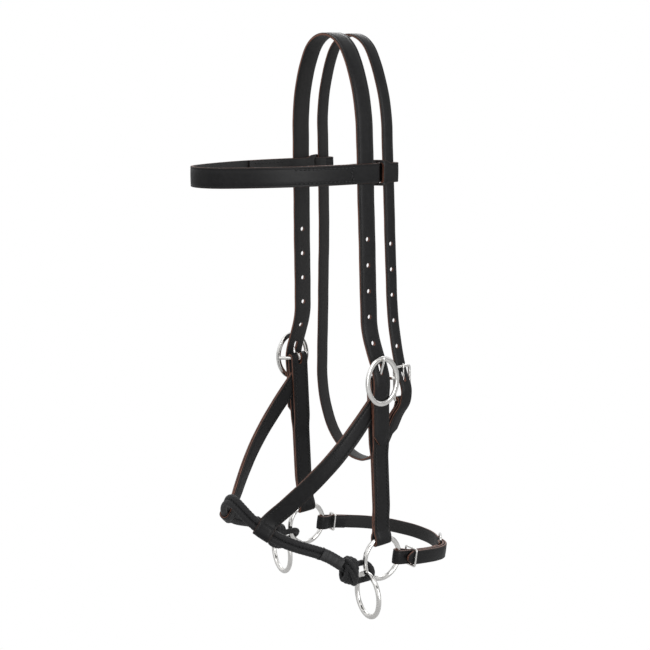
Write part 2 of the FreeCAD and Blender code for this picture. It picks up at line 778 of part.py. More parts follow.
def build_noseband():
    """Noseband: two braided rope strands, one above the other, round the nose."""
    for label, side in (("noseband_rope_upper", 1), ("noseband_rope_lower", -1)):
        half = new_body(f"{label}_half", NOSE_PLANE)
        height = term((side, "rope_spacing"))
        profile = new_sketch(half, "section", "YZ_Plane")
        disc(profile, term((-1, "nose_front")), height, term((1, "rope_radius")))
        spine = new_sketch(half, "path", "XY_Plane", height)
        trace(spine, NOTHING, term((-1, "nose_front")), 0, NOSE_STEPS)
        sweep(half, "strand", profile, spine)
        other = doc.addObject("Part::Mirroring", f"{label}_other")
        other.Source = half
        other.Base = ORIGIN
        other.Normal = X_AXIS
        whole = joined(label, [half, other])
        whole.Refine = True
        finish(whole, label)


def slot_tube(label, centre, along, up, half_length, inside, wall, length):
    """Short tube of slot-shaped section round the two rope strands."""
    side = up.cross(along)
    turn = FreeCAD.Rotation(side, up, along, "XYZ")
    start = centre - along * (length[0] / 2)
    body = new_body(label, FreeCAD.Placement(start, turn))
    outline = new_sketch(body, "outline", "XY_Plane")
    outside = (inside[0] + wall[0], f"{inside[1]} + {wall[1]}")
    slot(outline, NOTHING, NOTHING, half_length, outside)
    slot(outline, NOTHING, NOTHING, half_length, inside)
    tube = body.newObject("PartDesign::Pad", "tube")
    tube.Profile = outline
    tube.setExpression("Length", length[1])
    doc.recompute()
    return body


def build_sleeves():
    """Smooth black sleeves that hold the two strands together in front of each knot."""
    side_run = SIZES["nose_side_radius"] * math.radians(SIZES["nose_side_angle"])
    middle, ahead = nose_point(side_run + SIZES["nose_tail"] - SIZES["sleeve_length"] / 2 - 0.5)
    centre = NOSE_PLANE.multVec(middle)
    along = NOSE_PLANE.Rotation.multVec(ahead)
    up = NOSE_PLANE.Rotation.multVec(Z_AXIS)
    sleeve = slot_tube(
        "rope_sleeve_near",
        centre,
        along,
        up,
        term((1, "rope_spacing")),
        term((1, "sleeve_slot_half")),
        term((1, "sleeve_wall")),
        term((1, "sleeve_length")),
    )
    finish(sleeve, "rope_sleeve_near")
    mirrored(sleeve, "rope_sleeve_off")


def build_knots():
    """Rope knots, each with the loop that holds the cheek ring and the rein ring."""
    centre = FreeCAD.Vector(SIZES["knot_across"], -SIZES["nose_setback"], -SIZES["nose_drop"])
    lump = doc.addObject("Part::Ellipsoid", "knot_lump")
    lump.setExpression("Radius1", "sizes.knot_half_height")
    lump.setExpression("Radius2", "sizes.knot_half_depth")
    lump.setExpression("Radius3", "sizes.knot_half_depth")
    lump.Placement = FreeCAD.Placement(centre, FreeCAD.Rotation())
    slant = FreeCAD.Rotation(Y_AXIS, SIZES["loop_slant"])
    start = FreeCAD.Vector(SIZES["loop_across"], -SIZES["loop_start"], -SIZES["loop_drop"])
    loop = new_body("ring_loop", FreeCAD.Placement(start, slant))
    profile = new_sketch(loop, "section", "XZ_Plane")
    disc(profile, term((1, "loop_half")), NOTHING, term((1, "rope_radius")))
    spine = new_sketch(loop, "path", "XY_Plane")
    steps = [("line", "loop_run"), ("left", "loop_half", "half_turn"), ("line", "loop_run")]
    trace(spine, term((1, "loop_half")), NOTHING, 90, steps)
    sweep(loop, "strand", profile, spine)
    knot = joined("rope_knot_near", [lump, loop])
    finish(knot, "rope_knot_near")
    mirrored(knot, "rope_knot_off")


def build_rings():
    """Cheek rings and rein rings: plain round welded wire rings."""
    centre = FreeCAD.Vector(SIZES["ring_centre_across"], 0, -SIZES["ring_centre_drop"])
    facing = FreeCAD.Rotation(Y_AXIS, 90)
    place = LEANED.multiply(FreeCAD.Placement(centre, facing))
    cheek = torus("cheek_ring_near", term((1, "ring_major")), term((1, "ring_wire")), place)
    finish(cheek, "cheek_ring_near")
    mirrored(cheek, "cheek_ring_off")
    tilt = math.radians(SIZES["rein_tilt"])
    hang = SIZES["rein_hang"]
    hook = FreeCAD.Vector(SIZES["loop_strand_across"], -SIZES["rein_plane"], -SIZES["loop_strand_drop"])
    middle = hook + FreeCAD.Vector(hang * math.sin(tilt), 0, -hang * math.cos(tilt))
    place = FreeCAD.Placement(middle, FreeCAD.Rotation(X_AXIS, 90))
    rein = torus("rein_ring_near", term((1, "rein_major")), term((1, "rein_wire")), place)
    finish(rein, "rein_ring_near")
    mirrored(rein, "rein_ring_off")


def section_card(name, centre, along, wide_way, width, thick):
    """Rectangular loft section square to a direction."""
    wide_way = (wide_way - along * wide_way.dot(along)).normalize()
    thin_way = along.cross(wide_way)
    card = doc.addObject("Part::Plane", name)
    card.Length = width[0]
    card.Width = thick[0]
    card.setExpression("Length", width[1])
    card.setExpression("Width", thick[1])
    turn = FreeCAD.Rotation(wide_way, thin_way, along, "XYZ")
    corner = centre - wide_way * (width[0] / 2) - thin_way * (thick[0] / 2)
    card.Placement = FreeCAD.Placement(corner, turn)
    return card


def build_hanger():
    """Nose hanger: a doubled strap from between the cheek layers to a fold round the noseband."""
    root = new_body("hanger_root", CHEEK_PLANE)
    profile = new_sketch(root, "section", "XY_Plane", term((-1, "hanger_root_drop")))
    thick = term((1, "hanger_thick"))
    rectangle(profile, term((1, "hanger_root_across")), NOTHING, thick, term((1, "strap_width")))
    spine = new_sketch(root, "path", "XZ_Plane")
    steps = [("line", "hanger_root_straight")]
    trace(spine, term((1, "hanger_root_across")), term((-1, "hanger_root_drop")), 90, steps)
    sweep(root, "root", profile, spine)
    fold_centre, ahead = nose_point(6.0)
    middle = NOSE_PLANE.multVec(fold_centre)
    along_rope = NOSE_PLANE.Rotation.multVec(ahead)
    off_rope = NOSE_PLANE.Rotation.multVec(Z_AXIS)
    fold = slot_tube(
        "hanger_fold",
        middle,
        along_rope,
        off_rope,
        term((1, "rope_spacing")),
        term((1, "hanger_slot_half")),
        term((1, "hanger_wall")),
        term((1, "strap_width")),
    )
    inside = FreeCAD.Vector(SIZES["hanger_root_across"], -SIZES["strap_width"] / 2 + 0.8, -360.0)
    start = CHEEK_PLANE.multVec(inside)
    end = middle + off_rope * 7.7
    run = end - start
    along = FreeCAD.Vector(run).normalize()
    top_way = FreeCAD.Vector(0, along.z, -along.y).normalize()
    cards = []
    for n, share, thin in ((0, 0.0, 0.5), (1, 0.09, 0.6), (2, 0.3, 1.0), (3, 0.7, 1.0), (4, 1.0, 1.0)):
        way = top_way * (share - 1) + along_rope * share
        facing = off_rope * -1 if n == 4 else along
        bow = X_AXIS * (SIZES["hanger_bow"] * math.sin(math.pi * share))
        thick = (SIZES["hanger_thick"] * thin, f"{thin} * sizes.hanger_thick")
        place = start + run * share + bow
        cards.append(section_card(f"web_{n}", place, facing, way, term((1, "strap_width")), thick))
    web = doc.addObject("Part::Loft", "hanger_web")
    web.Sections = cards
    web.Solid = True
    hanger = joined("noseband_hanger_near", [root, web, fold])
    finish(hanger, "noseband_hanger_near")
    mirrored(hanger, "noseband_hanger_off")


def chin_buckle_line():
    """Heel-bar centre and the direction from it to the far bar, in the chin plane."""
    heel = FreeCAD.Vector(SIZES["chin_heel_across"], SIZES["chin_heel_back"], 0)
    far = FreeCAD.Vector(SIZES["chin_far_across"], SIZES["chin_far_back"], 0)
    return heel, (far - heel).normalize()


def build_chin():
    """Chin strap with its short buckle chape, both folded round the rear of the cheek rings."""
    ring_axis = LEANED.multVec(FreeCAD.Vector(0, 0, -SIZES["ring_centre_drop"]))
    plane = sloped(ring_axis.y, -ring_axis.z, SIZES["chin_slope"])
    wide = term((1, "chin_width"))
    thick = term((1, "thin_thick"))
    strap = new_body("chin_body", plane)
    profile = new_sketch(strap, "section", "YZ_Plane")
    depth = term((1, "chin_depth"))
    rectangle(profile, depth, NOTHING, thick, wide)
    off = new_sketch(strap, "off_path", "XY_Plane")
    off_steps = [
        ("left", "chin_back_radius", "chin_back_angle"),
        ("left", "chin_side_radius", "chin_side_angle"),
        ("line", "chin_entry"),
        ("left", "chin_fold_radius", "half_turn"),
        ("left", "chin_pinch_radius", "chin_pinch_in"),
        ("right", "chin_pinch_radius", "chin_pinch_out"),
        ("right", "chin_lap_radius", "chin_lap_angle"),
    ]
    trace(off, NOTHING, depth, 180, off_steps)
    sweep(strap, "off_side", profile, off)
    near = new_sketch(strap, "near_path", "XY_Plane")
    near_steps = [
        ("right", "chin_back_radius", "chin_near_angle"),
        ("left", "chin_step_radius", "chin_step_angle"),
        ("right", "chin_step_radius", "chin_step_angle"),
        ("right", "chin_corner_radius", "chin_corner_angle"),
        ("right", "chin_side_radius", "chin_near_side_angle"),
        ("line", "chin_near_tip"),
    ]
    trace(near, NOTHING, depth, 0, near_steps)
    sweep(strap, "near_side", profile, near)

    chape = new_body("chape_body", plane)
    across = term((1, "ring_centre_across"))
    fold = term((1, "chin_fold_centre"), (-1, "chin_fold_radius"))
    profile = new_sketch(chape, "section", "YZ_Plane", across)
    rectangle(profile, fold, NOTHING, thick, wide)
    outer = new_sketch(chape, "outer_path", "XY_Plane")
    outer_steps = [
        ("left", "chin_fold_radius", "quarter_turn"),
        ("line", "chape_run"),
        ("left", "chape_side_radius", "chape_side_angle"),
        ("left", "chape_corner_radius", "chin_corner_angle"),
        ("left", "chape_wrap_radius", "half_turn"),
        ("line", "chape_return"),
    ]
    trace(outer, across, fold, 0, outer_steps)
    sweep(chape, "outer_layer", profile, outer)
    inner = new_sketch(chape, "inner_path", "XY_Plane")
    inner_steps = [
        ("right", "chin_fold_radius", "quarter_turn"),
        ("right", "chape_pinch_radius", "chape_pinch_angle"),
        ("left", "chape_pinch_radius", "chape_pinch_angle"),
        ("left", "chape_inner_radius", "chape_side_angle"),
    ]
    trace(inner, across, fold, 180, inner_steps)
    sweep(chape, "inner_layer", profile, inner)
    heel, along = chin_buckle_line()
    turn = FreeCAD.Rotation(along, Y_AXIS, Z_AXIS, "XZY")
    for label, body, size, shift in (
        ("chin_strap", strap, (11.0, 12.0, 2.6), along * 8.5),
        ("chin_chape", chape, (9.0, 12.0, 3.0), along * -0.6),
    ):
        centre = plane.multiply(FreeCAD.Placement(heel + shift, turn))
        opening = block(f"{label}_opening", size, ORIGIN, centre)
        cut = doc.addObject("Part::Cut", label)
        cut.Base = body
        cut.Tool = opening
        finish(cut, label)
    return plane


def build_chin_metal(plane):
    """Chin buckle frame and tongue, and the two sliding keepers."""
    heel = FreeCAD.Vector(SIZES["chin_heel_across"], SIZES["chin_heel_back"], 0)
    far = FreeCAD.Vector(SIZES["chin_far_across"], SIZES["chin_far_back"], 0)
    reach = far - heel
    along = FreeCAD.Vector(reach).normalize()
    outward = Z_AXIS.cross(along) * -1
    facing = FreeCAD.Rotation(along, Z_AXIS, along.cross(Z_AXIS), "XYZ")
    wire = term((1, "chin_wire"))
    length = (reach.Length + wire[0], f"{reach.Length} + {wire[1]}")
    tall = term((1, "chin_frame_height"))
    place = FreeCAD.Placement((heel + far) * 0.5, facing)
    frame = rectangular_frame("chin_buckle_frame", (length, tall, wire), wire, plane.multiply(place), 1.15)
    finish(frame, "chin_buckle_frame")

    ring = term((1, "chin_tongue_ring"))
    radius = term((1, "throat_tongue_radius"))
    eye = torus("chin_tongue_eye", ring, radius, FreeCAD.Placement(heel, FreeCAD.Rotation()))
    start = heel + outward * ring[0] - along * 0.8
    prong_length = (reach.Length + 2.8, f"{reach.Length} + 2.8")
    prong = rod("chin_tongue_prong", radius, start, along, prong_length)
    tip = doc.addObject("Part::Sphere", "chin_tongue_tip")
    tip.setExpression("Radius", radius[1])
    tip.Placement = FreeCAD.Placement(start + along * prong_length[0], FreeCAD.Rotation())
    tongue = joined("chin_buckle_tongue", [eye, prong, tip])
    tongue.Placement = plane
    finish(tongue, "chin_buckle_tongue")

    keeper_wire = term((1, "keeper_wire"))
    keeper_depth = term((1, "keeper_depth"))
    tall = term((1, "chin_width"), (2, "keeper_wire"), (2, "keeper_clear"))
    for label, low, high in (("chin_keeper_near", 60.9, 75.1), ("chin_keeper_off", -70.9, -64.2)):
        clear = SIZES["keeper_clear"] + SIZES["keeper_wire"]
        wide = (high - low + 2 * clear, f"{high - low} + 2 * sizes.keeper_clear + 2 * sizes.keeper_wire")
        centre = FreeCAD.Vector((low + high) / 2, SIZES["keeper_back"], 0)
        facing = FreeCAD.Rotation(X_AXIS, Z_AXIS, Y_AXIS * -1, "XYZ")
        place = plane.multiply(FreeCAD.Placement(centre, facing))
        keeper = rectangular_frame(label, (wide, tall, keeper_depth), keeper_wire, place, 0.5)
        finish(keeper, label)


def export():
    """Check every object and write one STEP file per sub-part."""
    doc.recompute()
    for item in doc.Objects:
        if "Invalid" in item.State or "Error" in item.State:
            raise RuntimeError(f"{item.Label} did not build: {item.State}")
    os.makedirs("parts", exist_ok=True)
    for item in finished:
        shape = item.Shape
        if shape.isNull() or not shape.isValid() or not shape.Solids:
            raise RuntimeError(f"{item.Label} has no valid solid")
        shape.exportStep(os.path.join("parts", f"{item.Label}.step"))


build_crown()
build_cheek()
build_cheek_buckle()
build_cheek_tongues()
throat_place = build_throatlatch()
build_throat_buckle(throat_place)
build_browband()
build_noseband()
build_sleeves()
build_knots()
build_rings()
build_hanger()
chin_plane = build_chin()
build_chin_metal(chin_plane)
export()
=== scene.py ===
import math
import random

import bpy
import bmesh
from mathutils import Matrix, Vector


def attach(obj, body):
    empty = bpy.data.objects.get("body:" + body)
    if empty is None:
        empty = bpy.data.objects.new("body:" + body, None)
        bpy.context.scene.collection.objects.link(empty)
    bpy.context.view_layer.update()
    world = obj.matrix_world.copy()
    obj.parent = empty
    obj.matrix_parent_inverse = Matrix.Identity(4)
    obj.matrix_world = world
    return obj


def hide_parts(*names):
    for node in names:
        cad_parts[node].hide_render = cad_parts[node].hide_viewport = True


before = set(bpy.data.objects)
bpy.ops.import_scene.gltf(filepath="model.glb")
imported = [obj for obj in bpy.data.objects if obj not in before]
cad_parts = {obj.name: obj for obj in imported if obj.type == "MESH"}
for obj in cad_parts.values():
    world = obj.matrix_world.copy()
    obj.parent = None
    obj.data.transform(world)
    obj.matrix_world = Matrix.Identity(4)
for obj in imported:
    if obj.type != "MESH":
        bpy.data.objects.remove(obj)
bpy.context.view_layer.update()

# Looks for the side-pull bridle. Lengths are millimetres in the CAD frame until MM turns them into metres.
MM = 0.001
X_AXIS = Vector((1, 0, 0))
Y_AXIS = Vector((0, 1, 0))
Z_AXIS = Vector((0, 0, 1))


def placed(name, data):
    """A new object in the scene that shows a mesh, lamp or camera."""
    made = bpy.data.objects.new(name, data)
    bpy.context.scene.collection.objects.link(made)
    return made


def stand_in(piece, part):
    """Let a finished piece take the place of a CAD part: the part is hidden."""
    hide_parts(part)


# ---- materials

class Look:
    """The node tree of a material or world, with short ways to build it."""

    def __init__(self, owner, output, shader):
        owner.use_nodes = True
        self.owner = owner
        self.tree = owner.node_tree
        self.tree.nodes.clear()
        self.surface = self.node(output).inputs["Surface"]
        self.shader = self.node(shader)
        self.feed(self.surface, self.shader.outputs[0])
        coords = self.node("ShaderNodeTexCoord").outputs
        self.place, self.along, self.direction = coords["Object"], coords["UV"], coords["Generated"]

    def node(self, kind, **values):
        """Add a node and set its inputs or properties by name."""
        made = self.tree.nodes.new(kind)
        for key, value in values.items():
            if key in made.inputs:
                made.inputs[key].default_value = value
            else:
                setattr(made, key, value)
        return made

    def feed(self, socket, value):
        """Give an input a number, a colour or another node's output."""
        if isinstance(value, float):
            socket.default_value = value
        elif isinstance(value, tuple):
            socket.default_value = (*value, 1.0)
        else:
            self.tree.links.new(value, socket)

    def set(self, **values):
        """Set the shader's inputs; Base_Color stands for Base Color."""
        for key, value in values.items():
            self.feed(self.shader.inputs[key.replace("_", " ")], value)

    def noise(self, scale, detail=4.0, rough=0.55, vector=None):
        made = self.node("ShaderNodeTexNoise", Scale=scale, Detail=detail, Roughness=rough)
        self.feed(made.inputs["Vector"], vector or self.place)
        return made.outputs["Fac"]

    def grain_lines(self, along, around, detail, rough):
        """Noise drawn out along a strap."""
        made = self.node("ShaderNodeMapping", Scale=(along, around, 1.0))
        self.feed(made.inputs["Vector"], self.along)
        return self.noise(1.0, detail, rough, made.outputs["Vector"])

    def ramp(self, value, *stops):
        made = self.node("ShaderNodeValToRGB")
        self.feed(made.inputs["Fac"], value)
        elements = made.color_ramp.elements
        while len(elements) < len(stops):
            elements.new(0.5)
        for element, (place, colour) in zip(elements, stops):
            element.position = place
            element.color = (*colour, 1.0)
        return made.outputs["Color"]

    def spread(self, value, low, high, start=0.25, stop=0.75):
        """Map start..stop on to low..high."""
        made = self.node("ShaderNodeMapRange")
        for key, bound in (("From Min", start), ("From Max", stop), ("To Min", low), ("To Max", high)):
            made.inputs[key].default_value = bound
        self.feed(made.inputs["Value"], value)
        return made.outputs["Result"]

    def mix(self, factor, one, two, way="MIX"):
        made = self.node("ShaderNodeMix", data_type="RGBA", blend_type=way)
        colours = [socket for socket in made.inputs if socket.type == "RGBA"]
        for socket, value in ((made.inputs["Factor"], factor), (colours[0], one), (colours[1], two)):
            self.feed(socket, value)
        return [socket for socket in made.outputs if socket.type == "RGBA"][0]

    def multiply(self, one, two):
        made = self.node("ShaderNodeMath", operation="MULTIPLY")
        self.feed(made.inputs[0], one)
        self.feed(made.inputs[1], two)
        return made.outputs["Value"]

    def bump(self, *heights):
        """Chain bump layers: (height socket, strength, distance in metres)."""
        normal = None
        for height, strength, distance in heights:
            made = self.node("ShaderNodeBump", Strength=strength, Distance=distance)
            self.feed(made.inputs["Height"], height)
            if normal:
                self.feed(made.inputs["Normal"], normal)
            normal = made.outputs["Normal"]
        self.set(Normal=normal)

    def white_to_camera(self, kind):
        """Plain white where the camera sees it directly. Every other ray meets the shader."""
        paper = self.node(kind, Color=(1.0, 1.0, 1.0, 1.0), Strength=1.0)
        choose = self.node("ShaderNodeMixShader")
        self.feed(choose.inputs["Fac"], self.node("ShaderNodeLightPath").outputs["Is Camera Ray"])
        self.feed(choose.inputs[1], self.shader.outputs[0])
        self.feed(choose.inputs[2], paper.outputs[0])
        self.feed(self.surface, choose.outputs["Shader"])


def new_look(name):
    return Look(bpy.data.materials.new(name), "ShaderNodeOutputMaterial", "ShaderNodeBsdfPrincipled")


def make_grain():
    look = new_look("grain_leather")
    mottled = look.noise(260.0)
    broad = look.ramp(look.noise(38.0), (0.3, (0.0048, 0.0048, 0.0052)), (0.7, (0.0098, 0.0098, 0.0104)))
    speck = look.ramp(mottled, (0.35, (0.0052, 0.0052, 0.0055)), (0.75, (0.0130, 0.0130, 0.0136)))
    wear = look.node("ShaderNodeAttribute", attribute_name="wear")
    scuff = look.spread(look.noise(520.0, 6.0, 0.7), 0.0, 1.0)
    worn = look.multiply(wear.outputs["Fac"], look.multiply(scuff, 0.55))
    pores = look.node("ShaderNodeTexVoronoi", Scale=1150.0, feature="DISTANCE_TO_EDGE")
    look.feed(pores.inputs["Vector"], look.place)
    wrinkle = look.grain_lines(160.0, 420.0, 5.0, 0.6)
    look.bump((pores.outputs["Distance"], 0.22, 0.00012), (mottled, 0.20, 0.00025), (wrinkle, 0.16, 0.0002))
    look.set(Base_Color=look.mix(worn, look.mix(0.45, broad, speck), (0.085, 0.052, 0.038)),
             Roughness=look.spread(mottled, 0.36, 0.52), Specular_IOR_Level=0.24, Coat_Weight=0.05,
             Coat_Roughness=0.32)
    return look.owner


def make_edge():
    look = new_look("cut_edge")
    lines = look.grain_lines(90.0, 2600.0, 6.0, 0.65)
    patches = look.noise(140.0, 5.0, 0.65)
    colour = look.ramp(lines, (0.25, (0.090, 0.036, 0.023)), (0.5, (0.270, 0.105, 0.064)),
                       (0.78, (0.450, 0.210, 0.130)))
    dark = look.spread(patches, 0.0, 0.75)
    look.set(Base_Color=look.mix(dark, colour, (0.035, 0.018, 0.014)), Roughness=0.58)
    look.bump((lines, 0.45, 0.00025), (patches, 0.25, 0.0002))
    return look.owner


def make_flesh():
    look = new_look("flesh_side")
    nap = look.noise(900.0, 8.0, 0.75)
    broad = look.noise(45.0)
    colour = look.ramp(nap, (0.3, (0.0055, 0.0053, 0.0053)), (0.75, (0.0160, 0.0148, 0.0144)))
    tint = look.ramp(broad, (0.35, (0.0065, 0.0062, 0.0062)), (0.7, (0.0125, 0.0118, 0.0116)))
    look.set(Base_Color=look.mix(0.5, colour, tint), Roughness=look.spread(nap, 0.62, 0.82),
             Sheen_Weight=0.12)
    look.bump((nap, 0.35, 0.0003), (broad, 0.2, 0.0006))
    return look.owner


def make_nickel():
    look = new_look("nickel_plate")
    cloud = look.noise(60.0, 3.0, 0.5)
    look.set(Base_Color=look.ramp(cloud, (0.3, (0.84, 0.83, 0.80)), (0.7, (0.93, 0.92, 0.89))), Metallic=1.0,
             Roughness=look.spread(cloud, 0.10, 0.20))
    look.bump((cloud, 0.05, 0.0003))
    return look.owner


def make_rope():
    look = new_look("braided_cord")
    fibre = look.noise(1900.0, 6.0, 0.7)
    colour = look.ramp(fibre, (0.3, (0.0030, 0.0030, 0.0034)), (0.75, (0.0180, 0.0180, 0.0195)))
    dusty = look.ramp(look.noise(120.0), (0.35, (0.0040, 0.0040, 0.0045)), (0.7, (0.0105, 0.0107, 0.0115)))
    look.set(Base_Color=look.mix(0.5, colour, dusty), Roughness=0.6, Specular_IOR_Level=0.35,
             Sheen_Weight=0.12, Sheen_Roughness=0.5)
    look.bump((fibre, 0.4, 0.0003))
    return look.owner


def make_sleeve():
    look = new_look("shrink_sleeve")
    fine = look.noise(320.0, 5.0, 0.6)
    look.set(Base_Color=look.ramp(fine, (0.3, (0.0080, 0.0080, 0.0086)), (0.75, (0.0190, 0.0190, 0.0200))),
             Roughness=look.spread(fine, 0.42, 0.6))
    look.bump((fine, 0.18, 0.0003), (look.noise(90.0, 4.0, 0.6), 0.35, 0.0008))
    return look.owner


def make_thread():
    look = new_look("waxed_thread")
    twist = look.noise(2600.0, 3.0, 0.6)
    look.set(Base_Color=look.ramp(twist, (0.3, (0.0035, 0.0035, 0.0038)), (0.75, (0.0130, 0.0130, 0.0138))),
             Roughness=0.6)
    look.bump((twist, 0.4, 0.0002))
    return look.owner


GRAIN = make_grain()
EDGE = make_edge()
FLESH = make_flesh()
NICKEL = make_nickel()
ROPE = make_rope()
SLEEVE = make_sleeve()
THREAD = make_thread()
LEATHER = [GRAIN, EDGE, FLESH]


# ---- paths

class Plane:
    """A working plane turned about the X axis, as the CAD sketches are."""

    def __init__(self, origin, tilt):
        self.origin = Vector(origin)
        self.rotation = Matrix.Rotation(math.radians(tilt), 3, "X")

    def put(self, x, y, z):
        return self.origin + self.rotation @ Vector((x, y, z))

    def turn(self, direction):
        return self.rotation @ Vector(direction)


LEAN = Plane((0, 0, 0), 1.9)
CROWN = Plane((0, 0, 0), 1.3)
CHEEK = Plane((0, -9.94, 0), 3.0)
THROAT = Plane((0, 26.5, 0), 1.9)
BROW = Plane((0, 0, -130.5), 0)
NOSE = Plane((0, -21, -522), -37)
RING_AXIS = LEAN.put(0, 0, -517)
CHIN = Plane(RING_AXIS, -8.5)


def turtle(start, heading, route, pitch):
    """Points and headings along a path of tangent pieces: S length, or L and R radius,degrees."""
    u, v = start
    course = math.radians(heading)
    samples = [(u, v, course)]
    for piece in route.split():
        sizes = [float(size) for size in piece[1:].split(",")]
        if piece[0] == "S":
            count = max(1, math.ceil(sizes[0] / (2 * pitch)))
            for _ in range(count):
                u += math.cos(course) * sizes[0] / count
                v += math.sin(course) * sizes[0] / count
                samples.append((u, v, course))
            continue
        side = 1 if piece[0] == "L" else -1
        radius, degrees = sizes
        turn = math.radians(degrees)
        count = max(2, math.ceil(radius * turn / pitch), math.ceil(degrees / 9))
        cu = u - math.sin(course) * side * radius
        cv = v + math.cos(course) * side * radius
        begin = math.atan2(v - cv, u - cu)
        for n in range(1, count + 1):
            angle = begin + side * turn * n / count
            u = cu + math.cos(angle) * radius
            v = cv + math.sin(angle) * radius
            samples.append((u, v, course + side * turn * n / count))
        course += side * turn
    return samples


def lay(start, heading, plane, kind, side, route, pitch=2.0):
    """Stations (point, width direction, grain direction) for a path drawn in a plane."""
    stations = []
    for u, v, course in turtle(start, heading, route, pitch):
        left = (-math.sin(course) * side, math.cos(course) * side)
        if kind == "xz":
            point = plane.put(u, 0, v)
            wide = plane.turn((0, 1, 0))
            grain = plane.turn((left[0], 0, left[1]))
        else:
            point = plane.put(u, v, 0)
            wide = plane.turn((0, 0, 1))
            grain = plane.turn((left[0], left[1], 0))
        stations.append((point, wide, grain))
    return stations


def ease(value):
    value = min(max(value, 0.0), 1.0)
    return value * value * (3 - 2 * value)


def flip_x(vector):
    return Vector((-vector.x, vector.y, vector.z))


def mirrored(stations):
    return [tuple(flip_x(v) for v in station) for station in reversed(stations)]


def lengths(points):
    total = [0.0]
    for one, two in zip(points, points[1:]):
        total.append(total[-1] + (two - one).length)
    return total


def run_of(stations):
    return lengths([station[0] for station in stations])


def square_to(vector, axis):
    """The part of a vector at right angles to an axis, as a unit vector."""
    return (vector - axis * vector.dot(axis)).normalized()


def around(one, two, angle):
    return one * math.cos(angle) + two * math.sin(angle)


def station_at(stations, reach, run):
    """Station a given distance along, interpolated."""
    reach = min(max(reach, 0.0), run[-1])
    index = 1
    while index < len(run) - 1 and run[index] < reach:
        index += 1
    span = run[index] - run[index - 1]
    share = (reach - run[index - 1]) / span if span else 0.0
    return tuple(a.lerp(b, share) for a, b in zip(stations[index - 1], stations[index]))


def evenly(dense, pitch, closed):
    """Points at an even pitch along a line. A closed line repeats its first point at its end."""
    run = lengths(dense)
    steps = max(3, round(run[-1] / pitch))
    even = []
    index = 1
    for n in range(steps + (0 if closed else 1)):
        reach = run[-1] * n / steps
        while index < len(run) - 1 and run[index] < reach:
            index += 1
        span = run[index] - run[index - 1] or 1.0
        even.append(dense[index - 1].lerp(dense[index], (reach - run[index - 1]) / span))
    return even


def smooth_curve(points, pitch=1.0, closed=False):
    """Catmull-Rom through points, resampled evenly."""
    points = [Vector(p) for p in points]
    count = len(points)
    dense = []
    last = count if closed else count - 1
    for n in range(last):
        if closed:
            a, b, c, d = (points[(n + k) % count] for k in (-1, 0, 1, 2))
        else:
            b, c = points[n], points[n + 1]
            a = points[n - 1] if n else b * 2 - c
            d = points[n + 2] if n + 2 < count else c * 2 - b
        for k in range(16):
            t = k / 16
            dense.append(0.5 * (2 * b + (c - a) * t + (2 * a - 5 * b + 4 * c - d) * t * t
                                + (3 * b - a - 3 * c + d) * t ** 3))
    dense.append(dense[0].copy() if closed else points[-1])
    return evenly(dense, pitch, closed)


# ---- meshes

def skin(count, sides, closed=False):
    """Faces over a stack of rings, with an end cap at each end unless it is closed."""
    faces = []
    for n in range(count if closed else count - 1):
        m = (n + 1) % count
        for k in range(sides):
            j = (k + 1) % sides
            faces.append((n * sides + k, n * sides + j, m * sides + j, m * sides + k))
    if not closed:
        faces.append(tuple(range(sides))[::-1])
        faces.append(tuple((count - 1) * sides + k for k in range(sides)))
    return faces


def new_mesh(name, points, faces, materials):
    mesh = bpy.data.meshes.new(name)
    mesh.from_pydata([p * MM for p in points], [], faces)
    for material in materials:
        mesh.materials.append(material)
    return mesh


def loft(name, rings, materials, closed=False, bands=None, wear=None, sharp=35.0):
    """Skin a list of rings of points. bands gives each side strip its material; end caps are cut edges."""
    count, sides = len(rings), len(rings[0])
    mesh = new_mesh(name, [p for ring in rings for p in ring], skin(count, sides, closed), materials)
    walls = sides * (count if closed else count - 1)
    for index, face in enumerate(mesh.polygons):
        if bands:
            face.material_index = bands[index % sides] if index < walls else 1
    centres = [sum(ring, Vector()) / sides for ring in rings]
    run = lengths(centres + ([centres[0]] if closed else []))
    girth = lengths(list(rings[0]) + [rings[0][0]])
    layer = mesh.uv_layers.new(name="strap")
    for face in mesh.polygons:
        for corner in face.loop_indices:
            vertex = mesh.loops[corner].vertex_index
            ring_index, k = divmod(vertex, sides)
            along = run[ring_index]
            rings_touched = {mesh.loops[c].vertex_index // sides for c in face.loop_indices}
            if closed and ring_index == 0 and count - 1 in rings_touched:
                along = run[-1]
            layer.data[corner].uv = (along * MM, girth[k] * MM)
    if wear:
        attribute = mesh.attributes.new("wear", "FLOAT", "POINT")
        for n in range(count):
            for k in range(sides):
                attribute.data[n * sides + k].value = wear[k]
    work = bmesh.new()
    work.from_mesh(mesh)
    bmesh.ops.recalc_face_normals(work, faces=work.faces)
    work.to_mesh(mesh)
    work.free()
    mesh.shade_smooth()
    mesh.set_sharp_from_angle(angle=math.radians(sharp))
    return placed(name, mesh)


